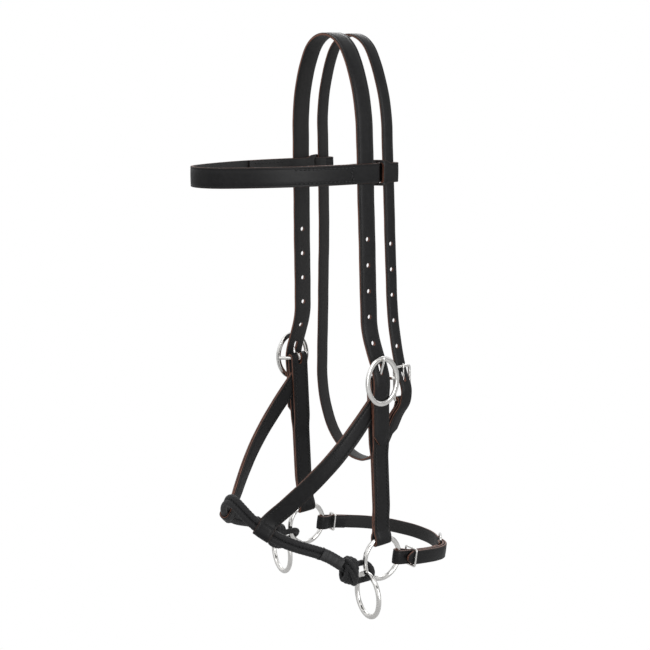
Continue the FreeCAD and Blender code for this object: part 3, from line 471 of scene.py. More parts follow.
def strap_profile(half, thick, crease):
    """Cross-section of a strap: (across, through, material of the strip that starts here, wear)."""
    top = thick / 2
    c = crease
    grain = [
        (-half, top - 0.75, 0, 1.0),
        (-half + 0.12, top - 0.32, 0, 1.0),
        (-half + 0.45, top - 0.06, 0, 0.55),
        (-half + 0.9, top, 0, 0.15),
        (-half + c - 0.4, top, 0, 0.0),
        (-half + c, top - 0.2, 0, 0.0),
        (-half + c + 0.4, top, 0, 0.0),
        (-half * 0.35, top + 0.10, 0, 0.0),
        (0.0, top + 0.13, 0, 0.0),
    ]
    grain += [(-a, t, 0, w) for a, t, _, w in reversed(grain[:-1])]
    grain[-1] = (half, top - 0.75, 1, 1.0)
    flesh = [
        (half + 0.06, 0.0, 1, 0.0),
        (half, -top + 0.3, 2, 0.0),
        (half - 0.35, -top, 2, 0.0),
        (half * 0.35, -top + 0.03, 2, 0.0),
        (-half * 0.35, -top + 0.03, 2, 0.0),
        (-half + 0.35, -top, 2, 0.0),
        (-half, -top + 0.3, 1, 0.0),
        (-half - 0.06, 0.0, 1, 0.0),
    ]
    return grain + flesh


ROUNDING = 0.12
BLUNTNESS = 0.72
TIP_SHARES = (0.0, 0.06, ROUNDING, 0.3, 0.5, 0.7, 0.9, 1.0)


def tip_factor(reach, tip):
    """Width factor of a pointed end, a distance from its very end."""
    length, blunt = tip
    if reach >= length:
        return 1.0
    share = reach / length
    if share <= ROUNDING:
        blunt *= BLUNTNESS + (1 - BLUNTNESS) * share / ROUNDING
        return blunt + (1 - tip[1]) * share
    return blunt + (1 - blunt) * share


def strap(name, stations, width, thick, body, tips=(None, None), closed=False, crease=2.1, widen=None, rng=7,
          wander=True):
    """A leather strap: grain side, two creased edges, cut brown edges and a flesh side."""
    for end, tip in enumerate(tips):
        if not tip:
            continue
        ordered = stations if end == 0 else stations[::-1]
        run = run_of(ordered)
        head = [station_at(ordered, tip[0] * share, run) for share in TIP_SHARES]
        ordered = head + [station for station, reach in zip(ordered, run) if reach > tip[0] + 0.8]
        stations = ordered if end == 0 else ordered[::-1]
    run = run_of(stations)
    profile = strap_profile(width / 2, thick, crease)
    dice = random.Random(rng)
    slow, fast = dice.uniform(0, 6.28), dice.uniform(0, 6.28)
    rings = []
    for (point, wide, grain), reach in zip(stations, run):
        factor = widen(reach) if widen else 1.0
        if tips[0]:
            factor *= tip_factor(reach, tips[0])
        if tips[1]:
            factor *= tip_factor(run[-1] - reach, tips[1])
        drift = 0.10 * math.sin(reach / 13 + slow) + 0.06 * math.sin(reach / 4.7 + fast) if wander else 0.0
        grain = grain.normalized()
        wide = wide.normalized()
        rings.append([point + wide * (a * factor + drift) + grain * t for a, t, _, _ in profile])
    bands = [band for _, _, band, _ in profile]
    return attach(loft(name, rings, LEATHER, closed, bands, [w for *_, w in profile], 50.0), body)


def boolean_cut(target, cutters):
    """Cut real openings. Their walls take the cut-edge material."""
    work = bmesh.new()
    for matrix, radius, depth, stretch in cutters:
        verts = bmesh.ops.create_cone(work, cap_ends=True, segments=28, radius1=radius * MM,
                                      radius2=radius * MM, depth=depth * MM)["verts"]
        for vertex in verts:
            if stretch:
                vertex.co.y += math.copysign(stretch * MM, vertex.co.y)
            vertex.co = matrix @ vertex.co
    for face in work.faces:
        face.material_index = 1
        face.smooth = True
    mesh = bpy.data.meshes.new("cutters")
    work.to_mesh(mesh)
    work.free()
    for material in LEATHER:
        mesh.materials.append(material)
    tool = placed("cutters", mesh)
    modifier = target.modifiers.new("openings", "BOOLEAN")
    modifier.object = tool
    modifier.operation = "DIFFERENCE"
    modifier.solver = "EXACT"
    modifier.material_mode = "INDEX"
    bpy.context.view_layer.update()
    evaluated = target.evaluated_get(bpy.context.evaluated_depsgraph_get())
    result = bpy.data.meshes.new_from_object(evaluated)
    target.modifiers.clear()
    target.data = result
    result.set_sharp_from_angle(angle=math.radians(50))
    bpy.data.objects.remove(tool)


def cutter(point, radius, depth, stretch=0.0, axis=X_AXIS, up=Z_AXIS):
    """Matrix for a punched opening: its hole runs along axis, and it is stretched along up."""
    axis = axis.normalized()
    up = square_to(up, axis)
    side = up.cross(axis)
    turn = Matrix((side, up, axis)).transposed().to_4x4()
    turn.translation = point * MM
    return (turn, radius, depth, stretch)


def merge_mesh(name, pieces, material, body):
    """One object from many small point-and-face lists."""
    vertices = []
    faces = []
    for points, polygons in pieces:
        base = len(vertices)
        vertices += points
        faces += [tuple(base + k for k in polygon) for polygon in polygons]
    mesh = new_mesh(name, vertices, faces, [material])
    mesh.shade_smooth()
    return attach(placed(name, mesh), body)


def capsule(start, end, radius, normal):
    """A stitch: a short rounded thread that dips at both ends."""
    along = (end - start).normalized()
    side = along.cross(normal).normalized()
    up = side.cross(along)
    rings = ((0.0, 0.30, -0.55), (0.12, 0.8, -0.15), (0.35, 1.0, 0.12), (0.65, 1.0, 0.12),
             (0.88, 0.8, -0.15), (1.0, 0.30, -0.55))
    sides = 7
    points = []
    for share, scale, lift in rings:
        centre = start.lerp(end, share) + up * (lift * radius)
        for k in range(sides):
            points.append(centre + around(side, up, 2 * math.pi * k / sides) * radius * scale)
    return points, skin(len(rings), sides)


def stitch_row(stations, across, through, begin, stop, pitch=4.4, length=2.9, radius=0.55):
    """Stitches along a strap between two distances along its path."""
    run = run_of(stations)
    pieces = []
    count = max(1, int(abs(stop - begin) / pitch))
    for n in range(count):
        share = begin + (n + 0.5) * (stop - begin) / count
        ends = []
        for shift in (-length / 2, length / 2):
            point, wide, grain = station_at(stations, share + shift, run)
            ends.append(point + wide.normalized() * across + grain.normalized() * through)
            normal = grain
        pieces.append(capsule(ends[0], ends[1], radius, normal * (1 if through > 0 else -1)))
    return pieces


def chevron(stations, places, through, length, radius):
    """Stitches across a sewn end, at (distance along, across, turn) places and their mirror places."""
    run = run_of(stations)
    pieces = []
    for reach, off_centre, turn in places:
        for across, slope in ((off_centre, turn), (-off_centre, -turn)):
            shift = math.cos(slope) * length / 2
            rise = math.sin(slope) * length / 2
            one, two = (station_at(stations, reach + way * shift, run) for way in (-1, 1))
            start = one[0] + one[1].normalized() * (across - rise) + one[2].normalized() * through
            end = two[0] + two[1].normalized() * (across + rise) + two[2].normalized() * through
            pieces.append(capsule(start, end, radius, one[2]))
    return pieces


def frames(points, closed=False):
    """Two directions square to a curve at each point, turned no more than the curve makes them."""
    count = len(points)
    tangents = []
    for n in range(count):
        if closed:
            ahead, behind = points[(n + 1) % count], points[n - 1]
        else:
            ahead, behind = points[min(n + 1, count - 1)], points[max(n - 1, 0)]
        tangents.append((ahead - behind).normalized())
    seed = Z_AXIS if abs(tangents[0].z) < 0.9 else X_AXIS
    side = tangents[0].cross(seed).normalized()
    result = []
    for tangent in tangents:
        side = square_to(side, tangent)
        result.append((side, tangent.cross(side)))
    return result


def braid(radius, reach, angle):
    """Radius of a fine round braid."""
    one = math.cos(4 * angle + reach * 1.7)
    two = math.cos(4 * angle - reach * 1.7)
    return radius * (0.93 + 0.10 * max(one, two))


def tube(name, points, radius, material, closed=False, sides=16, surface=None):
    """Round bar along a curve. surface shapes the radius; radius may also be a function of the share."""
    axes = frames(points, closed)
    run = lengths(points)
    rings = []
    for n, (point, (side, other)) in enumerate(zip(points, axes)):
        size = radius(run[n] / run[-1]) if callable(radius) else radius
        ring = []
        for k in range(sides):
            angle = 2 * math.pi * k / sides
            reach = surface(size, run[n], angle) if surface else size
            ring.append(point + around(side, other, angle) * reach)
        rings.append(ring)
    return loft(name, rings, [material], closed, sharp=40.0)


def cord(name, points, radius):
    return tube(name, smooth_curve(points, 0.75), radius, ROPE, False, 24, braid)


def wire(name, points, radius, body, closed=False, sides=16):
    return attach(tube(name, points, radius, NICKEL, closed, sides), body)


def ring_points(centre, one, two, radius, count=128):
    return [centre + around(one, two, 2 * math.pi * n / count) * radius for n in range(count)]


def join(objects, name, body):
    """Weld several of the script's own meshes into one piece."""
    work = bmesh.new()
    materials = []
    for made in objects:
        work.from_mesh(made.data)
        for material in made.data.materials:
            if material not in materials:
                materials.append(material)
    mesh = bpy.data.meshes.new(name)
    work.to_mesh(mesh)
    work.free()
    for material in materials:
        mesh.materials.append(material)
    mesh.set_sharp_from_angle(angle=math.radians(40))
    for made in objects:
        bpy.data.objects.remove(made)
    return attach(placed(name, mesh), body)


def other_side(source, name, body):
    """The off-side twin of a near-side piece."""
    mesh = source.data.copy()
    mesh.transform(Matrix.Scale(-1, 4, X_AXIS))
    mesh.flip_normals()
    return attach(placed(name, mesh), body)


def stand_in_both(near, off_name, off_body, part):
    """Finish a near-side piece and its off-side twin."""
    stand_in(near, f"{part}_near")
    stand_in(other_side(near, off_name, off_body), f"{part}_off")


# ---- crown strap

BROAD = 19.05
CROWN_THICK = 2.8
POINT = (10.5, 0.24)
HOLE_PITCH = 25.4

crown_near = lay((0, 1.4), 0, CROWN, "xz", 1, "R38,60 R150,29 S181.723 L60,24 S20.079 R40,25 S65")


def bulged(stations, plane, middle, reach, height):
    """Push a strap outwards where it rides over a buckle bar."""
    shaped = []
    for point, wide, grain in stations:
        away = (point.z - plane.put(0, 0, middle).z) / reach
        shaped.append((point + grain.normalized() * height * math.exp(-away * away), wide, grain))
    return shaped


crown_near = bulged(crown_near, CROWN, -334.0, 11.0, 2.0)
crown_path = mirrored(crown_near) + crown_near[1:]
crown = strap("crown_leather", crown_path, BROAD, CROWN_THICK, "headstall", tips=(POINT, POINT))


def billet_holes(plane, side, first, kink, below, radius, depth):
    """Cutters for five holes at an even pitch. The strap stands further out below its kink."""
    holes = []
    for n in range(5):
        drop = first + n * HOLE_PITCH
        across = 56.0 if drop < kink else below
        holes.append(cutter(plane.put(side * across, 0, -drop), radius, depth))
    return holes


cuts = []
for side in (1, -1):
    cuts += billet_holes(CROWN, side, 193.8, 260, 64.0, 2.3, 40.0)
    cuts.append(cutter(CROWN.put(side * 74, 0, -319.6), 1.9, 22.0, 3.4))
boolean_cut(crown, cuts)
stand_in(crown, "crown_strap")


# ---- throatlatch

THROAT_WIDTH = 12.7
THROAT_THICK = 2.3
THROAT_SWEEP = 5.0
throat_near = lay((0, 1.15), 0, THROAT, "xz", 1,
                  "R38,60 R150,29 S155.4 L292.8,15.55 S20.81 R35,16.55 S2 R14,30 S36")
throat_off = lay((0, 1.15), 180, THROAT, "xz", -1,
                 "L38,60 L150,29 S60 R1500,3 S118 L100,34 L57.05,120 S49.34 L12,30 L2.75,180 S5.8 "
                 "R8,30 S22")
throat_near = bulged(throat_near, THROAT, -341.0, 10.0, 3.2)


def swept_forward(stations):
    """Below its buckle the throatlatch slants forward before it passes under the throat."""
    shaped = []
    for point, wide, grain in stations:
        drop = -(THROAT.rotation.inverted() @ (point - THROAT.origin)).z
        share = ease((drop - 352.0) / 22.0) * ease((470.0 - drop) / 60.0) * ease(point.x / 20.0)
        shaped.append((point - Y_AXIS * THROAT_SWEEP * share, wide, grain))
    return shaped


throat_off = swept_forward(throat_off)
throat_near = swept_forward(throat_near)
throat = strap("throat_leather", throat_near[::-1] + throat_off[1:], THROAT_WIDTH, THROAT_THICK,
               "headstall", tips=((8.0, 0.25), None), crease=1.7, rng=3)
cuts = billet_holes(THROAT, 1, 200.2, 270, 62.0, 2.1, 30.0)
cuts.append(cutter(THROAT.put(74.0, 0, -331.0), 1.4, 14.0, 3.2))
cuts.append(cutter(THROAT.put(69.0, 0, -354.0), 1.6, 9.2, 3.6))
boolean_cut(throat, cuts)
stand_in(throat, "throatlatch_strap")


# ---- cheek straps

CHEEK_THICK = 2.6
cheek_outer = lay((66, -502.17), 0, CHEEK, "xz", -1,
                  "L3.95,90 S2.3 L10,29.25 R10,29.25 S6 R60,9.94 L60,9.94 S45.9 R55,10.95 L55,10.95 "
                  "S61.19 L3.4,90", 1.5)
cheek_inner = lay((66, -502.17), 180, CHEEK, "xz", 1,
                  "R3.95,90 S2.3 R10,29.25 L10,29.25 S6 R60,9.94 L60,9.94 S45.9 L55,10.95 R55,10.95 "
                  "S61.19 R3.4,90", 1.5)
cheek_path = cheek_outer + cheek_inner[::-1][1:-1]
cheek = strap("cheek_leather_near", cheek_path, BROAD, CHEEK_THICK, "headstall", closed=True, crease=2.7,
              wander=False)
boolean_cut(cheek, [cutter(CHEEK.put(68, 0, -331.95), 2.5, 30.0, 4.0)])
stand_in_both(cheek, "cheek_leather_off", "headstall", "cheek_strap")

outer_run = run_of(cheek_outer)[-1]
inner_run = run_of(cheek_inner)[-1]
pieces = []
for across in (-6.8, 6.8):
    pieces += stitch_row(cheek_outer, across, 1.34, 19, outer_run - 72, 3.9, 2.8, 0.7)
    pieces += stitch_row(cheek_inner, across, 1.34, 19, inner_run - 14, 3.9, 2.8, 0.7)
near_stitches = merge_mesh("cheek_stitches_near", pieces, THREAD, "headstall")
other_side(near_stitches, "cheek_stitches_off", "headstall")


# ---- cheek buckles

BAR = (67.8, -331.45)
PLANE_X = 77.0
END_CENTRE = 6.9
END_RADIUS = 15.5
SIDE_CENTRE = 8.272
SIDE_RADIUS = 26.272


def oval_loop():
    """Middle line of the cheek buckle's band: four arcs that meet at tangents."""
    join_angle = math.degrees(math.atan2(END_CENTRE, SIDE_CENTRE))
    arcs = (
        (-SIDE_CENTRE, 0, SIDE_RADIUS, -join_angle, 22),
        (0, END_CENTRE, END_RADIUS, join_angle, 32),
        (SIDE_CENTRE, 0, SIDE_RADIUS, 180 - join_angle, 22),
        (0, -END_CENTRE, END_RADIUS, 180 + join_angle, 32),
    )
    points = []
    for n, (across, up, radius, begin, count) in enumerate(arcs):
        sweep = 2 * join_angle if n % 2 == 0 else 180 - 2 * join_angle
        for k in range(count):
            angle = math.radians(begin + sweep * k / count)
            points.append((across + radius * math.cos(angle), up + radius * math.sin(angle)))
    return points


def buckle_band():
    middle = oval_loop()
    count = len(middle)
    rings = []
    for n, (y, z) in enumerate(middle):
        before, after = middle[n - 1], middle[(n + 1) % count]
        tangent = Vector((0, after[0] - before[0], after[1] - before[1])).normalized()
        outward = Vector((0, tangent.z, -tangent.y))
        ring = []
        for k in range(20):
            angle = 2 * math.pi * k / 20
            c, s = math.cos(angle), math.sin(angle)
            a = math.copysign(abs(c) ** 0.8, c) * 2.6
            b = math.copysign(abs(s) ** 0.8, s) * 1.4
            local = Vector((PLANE_X, y, BAR[1] + z)) + outward * a + X_AXIS * b
            ring.append(CHEEK.put(*local))
        rings.append(ring)
    return loft("band", rings, [NICKEL], True)


def buckle_bar():
    across, drop = BAR
    half = [(across, 4, drop), (across, 9, drop), (70.4, 12, drop), (74.2, 15, drop), (PLANE_X, 17.8, drop)]
    points = smooth_curve([(x, -y, z) for x, y, z in half[::-1]] + half, 0.8)
    return tube("bar", [CHEEK.put(*p) for p in points], 1.85, NICKEL)


frame_near = join([buckle_band(), buckle_bar()], "cheek_buckle_near", "headstall")
stand_in_both(frame_near, "cheek_buckle_off", "headstall", "cheek_buckle_frame")


def tongue(name, plane, pivot, up, out, eye, radius, angle, length):
    """Buckle tongue: an eye round the bar and a tapering prong that laps over the far bar."""
    tilt = math.radians(angle)
    ahead = around(up, out, tilt)
    lift = out * math.cos(tilt) - up * math.sin(tilt)
    loop = []
    for n in range(26):
        turn = math.radians(-20 - n * 12.5)
        loop.append(pivot + around(lift, ahead, turn) * eye)
    prong = [pivot + lift * eye + ahead * (length * share) for share in (0.08, 0.3, 0.55, 0.8)]
    prong.append(pivot + lift * (eye - 0.15) + ahead * (length * 0.94))
    prong.append(pivot + lift * (eye - 0.65) + ahead * (length + 0.3))
    points = [plane.put(*p) for p in smooth_curve(loop[::-1] + prong, 0.6)]

    def width(share):
        if share < 0.03:
            return radius * 0.6
        return radius * (1.12 - 0.34 * max(0.0, share - 0.35) / 0.65) * (0.7 if share > 0.985 else 1.0)

    return tube(name, points, width, NICKEL, sides=14)


cheek_bar = Vector((BAR[0], 0, BAR[1]))
prong = tongue("cheek_tongue_metal_near", CHEEK, cheek_bar, Z_AXIS, X_AXIS, 3.2, 1.5, 23.3, 27.0)
stand_in_both(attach(prong, "cheek_tongue_near"), "cheek_tongue_metal_off", "cheek_tongue_off",
              "cheek_buckle_tongue")


# ---- throatlatch buckle

def rounded_rectangle(wide, tall, corner, pitch=0.8):
    """Closed outline as (across, up), centred."""
    points = []
    for sx, sy, start in ((1, 1, 0), (-1, 1, 90), (-1, -1, 180), (1, -1, 270)):
        cx, cy = sx * (wide / 2 - corner), sy * (tall / 2 - corner)
        for n in range(7):
            angle = math.radians(start + 15 * n)
            points.append(Vector((cx + corner * math.cos(angle), cy + corner * math.sin(angle), 0)))
    return evenly(points + [points[0]], pitch, True)


THROAT_BAR = Vector((69.8, 0, -354.64))
THROAT_FRAME = (19.0, 33.5)
outline = rounded_rectangle(*THROAT_FRAME, 2.4)
points = [THROAT.put(THROAT_BAR.x, p.x, THROAT_BAR.z + THROAT_FRAME[1] / 2 + p.y) for p in outline]
throat_frame = wire("throat_buckle_wire", points, 1.5, "headstall", closed=True)
stand_in(throat_frame, "throat_buckle_frame")
prong = tongue("throat_tongue_metal", THROAT, THROAT_BAR, Z_AXIS, X_AXIS, 2.5, 0.92, 0.0, 36.5)
stand_in(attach(prong, "throat_tongue"), "throat_buckle_tongue")


# ---- browband

BROW_THICK = 2.5
brow_half = lay((0, -152.75), 0, BROW, "xy", -1, "L30,60 L229.3,30 S36.6 L5.87,64.6 R5.87,64.6 S6.9", 1.5)
brow_front = strap("browband_leather", mirrored(brow_half) + brow_half[1:], BROAD, BROW_THICK, "brow",
                   wander=False)
stand_in(brow_front, "browband")

brow_loop = lay((50.0, 31.0), 90, BROW, "xy", 1,
                "S6.9 R3.35,180 S13.4 R5.87,64.6 L5.87,64.6 S19.76 L17.3,28 R17.3,28 S1.0 R226.7,10", 1.2)


def slit_spread(reach):
    """The margins of the slit stand apart where the band passes through."""
    return 1.0 + 0.3 * ease((13.5 - abs(reach - 37.5)) / 7.0)


loop_near = strap("browband_loop_near", brow_loop, BROAD, BROW_THICK, "brow", widen=slit_spread, wander=False)
boolean_cut(loop_near, [cutter(BROW.put(53.35, 19.45, 0), 3.0, 16.0, 6.9)])
for face in loop_near.data.polygons:
    if len(face.vertices) > 12:
        face.material_index = 0
other_side(loop_near, "browband_loop_off", "brow")

brow_run = run_of(brow_half)
ends = brow_run[-1] - 46.0
starts = ends - 66.0
pieces = []
for across in (-6.4, 6.4):
    pieces += stitch_row(brow_half, across, 1.3, starts, ends, 4.3, 3.2, 0.85)
pieces += chevron(brow_half, ((ends - 2.6, 4.6, -0.9), (ends - 4.4, 1.9, -1.1)), 1.32, 3.0, 0.85)
loop_run = run_of(brow_loop)[-1]
pieces += stitch_row(brow_loop, 6.4, -1.3, loop_run - 44.0, loop_run - 6.0, 4.3, 3.2, 0.75)
brow_stitches = merge_mesh("browband_stitches_near", pieces, THREAD, "brow")
other_side(brow_stitches, "browband_stitches_off", "brow")


# ---- rope noseband

ROPE_GAP = 3.0
NOSE_FRONT = -122.7
FRONT_BEND, FRONT_TURN = 36, math.radians(55)
SIDE_BEND, SIDE_TURN = 178, math.radians(24)
SIDE_RUN = SIDE_BEND * SIDE_TURN
NOSE_TAIL = 26
NOSE_DIP = 13.0
nose_samples = turtle((0, NOSE_FRONT), 0, f"L{FRONT_BEND},55 L{SIDE_BEND},24 S{NOSE_TAIL}", 2.5)


def sag(u, v, height):
    """The cords arch over the nose and dip at each side of it, under the hangers."""
    middle = NOSE.put(u, v, 0)
    depth = NOSE_DIP * ease((-40.0 - middle.y) / 55.0) * ease(abs(middle.x) / 36.0)
    return NOSE.put(u, v, height) - Z_AXIS * depth


def nose_strand(height):
    near = [sag(u, v, height) for u, v, _ in nose_samples]
    return [flip_x(p) for p in reversed(near)] + near[1:]


for label, height in (("upper", ROPE_GAP), ("lower", -ROPE_GAP)):
    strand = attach(cord(f"noseband_cord_{label}", nose_strand(height), 3.3), "headstall")
    stand_in(strand, f"noseband_rope_{label}")


def nose_point(run):
    """Point and direction on the near side of the noseband, past the front bend."""
    point = sag(*flat_nose_point(run), 0)
    beyond = sag(*flat_nose_point(run + 1.0), 0)
    return point, (beyond - point).normalized()


def flat_nose_point(run):
    turn = min(run / SIDE_BEND, SIDE_TURN)
    course = FRONT_TURN + turn
    rest = run - turn * SIDE_BEND
    centre_u = (FRONT_BEND - SIDE_BEND) * math.sin(FRONT_TURN)
    centre_v = NOSE_FRONT + FRONT_BEND + (SIDE_BEND - FRONT_BEND) * math.cos(FRONT_TURN)
    return (centre_u + SIDE_BEND * math.sin(course) + rest * math.cos(course),
            centre_v - SIDE_BEND * math.cos(course) + rest * math.sin(course))


OFF_ROPE = NOSE.turn((0, 0, 1))


def stadium(half, radius, count=12):
    """A long round outline: two half circles, one above the other."""
    points = []
    for lift, begin in ((half, 0.0), (-half, math.pi)):
        for n in range(count + 1):
            angle = begin + math.pi * n / count
            points.append((radius * math.cos(angle), lift + radius * math.sin(angle)))
    return points


def build_sleeve():
    """Shrunk sleeve: follows the two cords, with soft wrinkles and rolled ends."""
    rings = []
    dice = random.Random(21)
    bulge, crease = dice.uniform(0, 6.28), dice.uniform(0, 6.28)
    for n in range(41):
        share = n / 40
        centre, along = nose_point(SIDE_RUN + NOSE_TAIL - 27.5 + 27 * share)
        side = OFF_ROPE.cross(along).normalized()
        swell = 0.35 * math.exp(-(share / 0.035) ** 2) + 0.3 * math.exp(-((share - 1.0) / 0.05) ** 2)
        ring = []
        outline = stadium(2.2 + 0.25 * math.sin(share * 5 + bulge), 3.95)
        for k, (a, b) in enumerate(outline):
            angle = 2 * math.pi * k / len(outline)
            crinkle = 0.10 * math.sin(share * 23 + 2 * angle + crease)
            crinkle += 0.08 * math.sin(share * 41 - 3 * angle)
            scale = 1 + (swell + crinkle) / 5.5
            ring.append(centre + side * a * scale + OFF_ROPE * b * scale)
        rings.append(ring)
    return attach(loft("sleeve_near", rings, [SLEEVE]), "headstall")


sleeve = build_sleeve()
stand_in_both(sleeve, "sleeve_off", "headstall", "rope_sleeve")


# ---- knots and ring loops

KNOT = Vector((63.8, -22.3, -522.0))
AXIS = Vector((0.12, 0.90, -0.42)).normalized()
OUT = (X_AXIS - AXIS * AXIS.x).normalized()
RISE = OUT.cross(AXIS)


def knot_point(along, up, out):
    return KNOT + AXIS * along + RISE * up + OUT * out


def build_knot():
    """Wraps round the two cords, two crossing strands, and a doubled eye for the rein ring."""
    coil = []
    for n in range(61):
        share = n / 60
        angle = math.radians(60) + 2 * math.pi * 3.5 * share
        swell = 1.0 + 0.10 * math.sin(math.pi * share)
        up = 10.2 * swell * math.cos(angle)
        coil.append(knot_point(-7.0 + 13.0 * share - 0.22 * up, up, 6.4 * swell * math.sin(angle)))
    parts = [cord("wraps", coil, 2.55)]
    for lift in (0.0, 5.0):
        cross = [(-9.0, 9.0 - lift, 1.0), (-8.0, 8.6 - lift, 6.0), (-4.0, 5.4 - lift, 10.2),
                 (0.5, 0.6 - lift, 11.0), (4.6, -4.4 - lift * 0.6, 9.6), (7.4, -8.0 - lift * 0.5, 5.6),
                 (7.6, -9.0 - lift * 0.4, 0.0)]
        parts.append(cord("over", [knot_point(*p) for p in cross], 2.45))
    for height in (ROPE_GAP, -ROPE_GAP):
        tail = OFF_ROPE * height
        one, along = nose_point(SIDE_RUN + NOSE_TAIL - 2)
        parts.append(cord("entry", [one + tail, one + tail + along * 5, knot_point(0, height * 0.7, 0)], 2.9))
    slope = math.radians(47.4)
    loop_axis = Vector((math.cos(slope), 0, -math.sin(slope)))
    base = Vector((66.0, -20.0, -525.3))
    loop = [base + loop_axis * 8.5 + Y_AXIS * (-1 + 16 * n / 8) for n in range(9)]
    for n in range(1, 12):
        angle = math.pi * n / 12
        loop.append(base + loop_axis * (8.5 * math.cos(angle)) + Y_AXIS * (15 + 8.5 * math.sin(angle)))
    loop += [base - loop_axis * 8.5 + Y_AXIS * (15 - 16 * n / 8) for n in range(9)]
    parts.append(cord("eye", loop, 2.95))
    return join(parts, "knot_near", "headstall")


knot = build_knot()
stand_in_both(knot, "knot_off", "headstall", "rope_knot")


# ---- nose hangers

HANGER_WIDTH = 17.45
HANGER_BOW = 11.1
LAYER = 1.95
HALF_GAP = 1.04


FOLD = (
    (-2.7, 7.4, -0.8, 0.6), (-4.3, 3.6, -1, 0.1), (-4.35, 0, -1, 0), (-4.3, -3.6, -1, -0.1),
    (-3.1, -6.2, -0.7, -0.7), (0, -7.4, 0, -1), (3.1, -6.2, 0.7, -0.7), (4.3, -3.6, 1, -0.1),
    (4.35, 0, 1, 0), (4.3, 3.6, 1, 0.1), (2.7, 7.4, 0.8, 0.6),
)


def hanger(label, mirror):
    """Doubled strap from between the cheek layers, folded round both cords and sewn to itself."""
    middle, along_rope = nose_point(6.0)
    start = CHEEK.put(BAR[0], -HANGER_WIDTH / 2, -360.0)
    end = middle + OFF_ROPE * 9.2
    run = end - start
    down = run.normalized()
    top_way = Vector((0, down.z, -down.y)).normalized()
    side = OFF_ROPE.cross(along_rope).normalized()
    web = []
    for n in range(13):
        share = -0.07 + 1.03 * n / 12
        way = (top_way * (share - 1) + along_rope * share).normalized()
        point = start + run * share + X_AXIS * HANGER_BOW * math.sin(math.pi * share)
        web.append((point, way))
    outer, inner = [], []
    for n, (point, way) in enumerate(web):
        ahead = (web[min(n + 1, 12)][0] - web[max(n - 1, 0)][0]).normalized()
        way = square_to(way, ahead)
        out = way.cross(ahead)
        if out.x < 0:
            out = -out
        outer.append((point + out * HALF_GAP, way, out))
        inner.append((point - out * HALF_GAP, way, -out))
    fold = []
    for a, b, na, nb in FOLD:
        fold.append((middle + side * a + OFF_ROPE * b, along_rope, (side * na + OFF_ROPE * nb).normalized()))
    if fold[0][1].dot(outer[-1][1]) < 0:
        fold = [(p, -w, n) for p, w, n in fold]
    rough = outer + fold + inner[::-1]
    points = smooth_curve([s[0] for s in rough], 1.6)
    coarse_run = run_of(rough)
    fine_run = lengths(points)
    stations = []
    for point, reach in zip(points, fine_run):
        _, way, out = station_at(rough, reach * coarse_run[-1] / fine_run[-1], coarse_run)
        stations.append([point, way.normalized(), out.normalized()])
    for n, station in enumerate(stations):
        ahead = (stations[min(n + 1, len(stations) - 1)][0] - stations[max(n - 1, 0)][0]).normalized()
        station[1] = square_to(station[1], ahead)
        out = station[1].cross(ahead)
        station[2] = out if out.dot(station[2]) > 0 else -out
    if mirror:
        stations = [[flip_x(v) for v in station] for station in stations]
    made = strap(f"hanger_leather_{label}", stations, HANGER_WIDTH, LAYER, "headstall", crease=2.6, rng=17)
    stand_in(made, f"noseband_hanger_{label}")
    total = run_of(stations)[-1]
    web_length = (total - 34) / 2
    close = web_length * 0.42
    sewn = []
    for across in (-5.9, 5.9):
        for begin, stop in ((9, close), (web_length * 0.86, web_length - 4), (total - close, total - 9)):
            sewn += stitch_row(stations, across, 1.03, begin, stop, 3.7, 2.7, 0.7)
    sewn += chevron(stations, ((close - 1, 4.4, -0.9), (close + 1.2, 2.0, -0.9)), 1.05, 2.5, 0.52)
    merge_mesh(f"hanger_stitches_{label}", sewn, THREAD, "headstall")


hanger("near", False)
hanger("off", True)


# ---- rings

cheek_ring = wire("cheek_ring_metal_near", ring_points(RING_AXIS + X_AXIS * 66, Y_AXIS, Z_AXIS, 21.55),
                  2.5, "cheek_ring_near", closed=True, sides=24)
stand_in_both(cheek_ring, "cheek_ring_metal_off", "cheek_ring_off", "cheek_ring")

tilt = math.radians(20)
HANG = 15.9
REIN_RADIUS = 21.7
rein_centre = Vector((71.8 + HANG * math.sin(tilt), -8.5, -531.6 - HANG * math.cos(tilt)))


def turned_ring(turn):
    """Ring points, with the ring turned about the upright line through its eye."""
    hook = Vector((71.8, -8.5, 0))
    spin = Matrix.Rotation(math.radians(turn), 3, "Z")
    return [hook + spin @ (p - hook) for p in ring_points(rein_centre, X_AXIS, Z_AXIS, REIN_RADIUS)]


rein_ring = wire("rein_ring_metal_near", turned_ring(-8), 2.5, "rein_ring_near", closed=True, sides=24)
stand_in(rein_ring, "rein_ring_near")
rein_ring_twin = wire("rein_ring_metal_off", [flip_x(p) for p in turned_ring(10)], 2.5, "rein_ring_off",
                      closed=True, sides=24)
stand_in(rein_ring_twin, "rein_ring_off")


# ---- chin strap

CHIN_WIDTH = 14.3
CHIN_THICK = 2.3
chin_off = lay((0, 112), 180, CHIN, "xy", -1,
               "L62,60 L120,30 S0.8 L3.9,180 L16.6,28.78 R16.6,37.44 R117.4,6", 1.5)
chin_near = lay((0, 112), 0, CHIN, "xy", 1, "R62,30 L23,26 R23,26 R35,40 R120,17 S17", 1.5)
chin = strap("chin_leather", chin_off[::-1] + chin_near[1:], CHIN_WIDTH, CHIN_THICK, "chin",
             tips=(None, (7.0, 0.32)), crease=1.8, rng=23)
HEEL = Vector((47.88, 93.40, 0))
FAR = Vector((32.05, 106.1, 0))
BUCKLE_WAY = (FAR - HEEL).normalized()
BUCKLE_OUT = Vector((BUCKLE_WAY.y, -BUCKLE_WAY.x, 0))


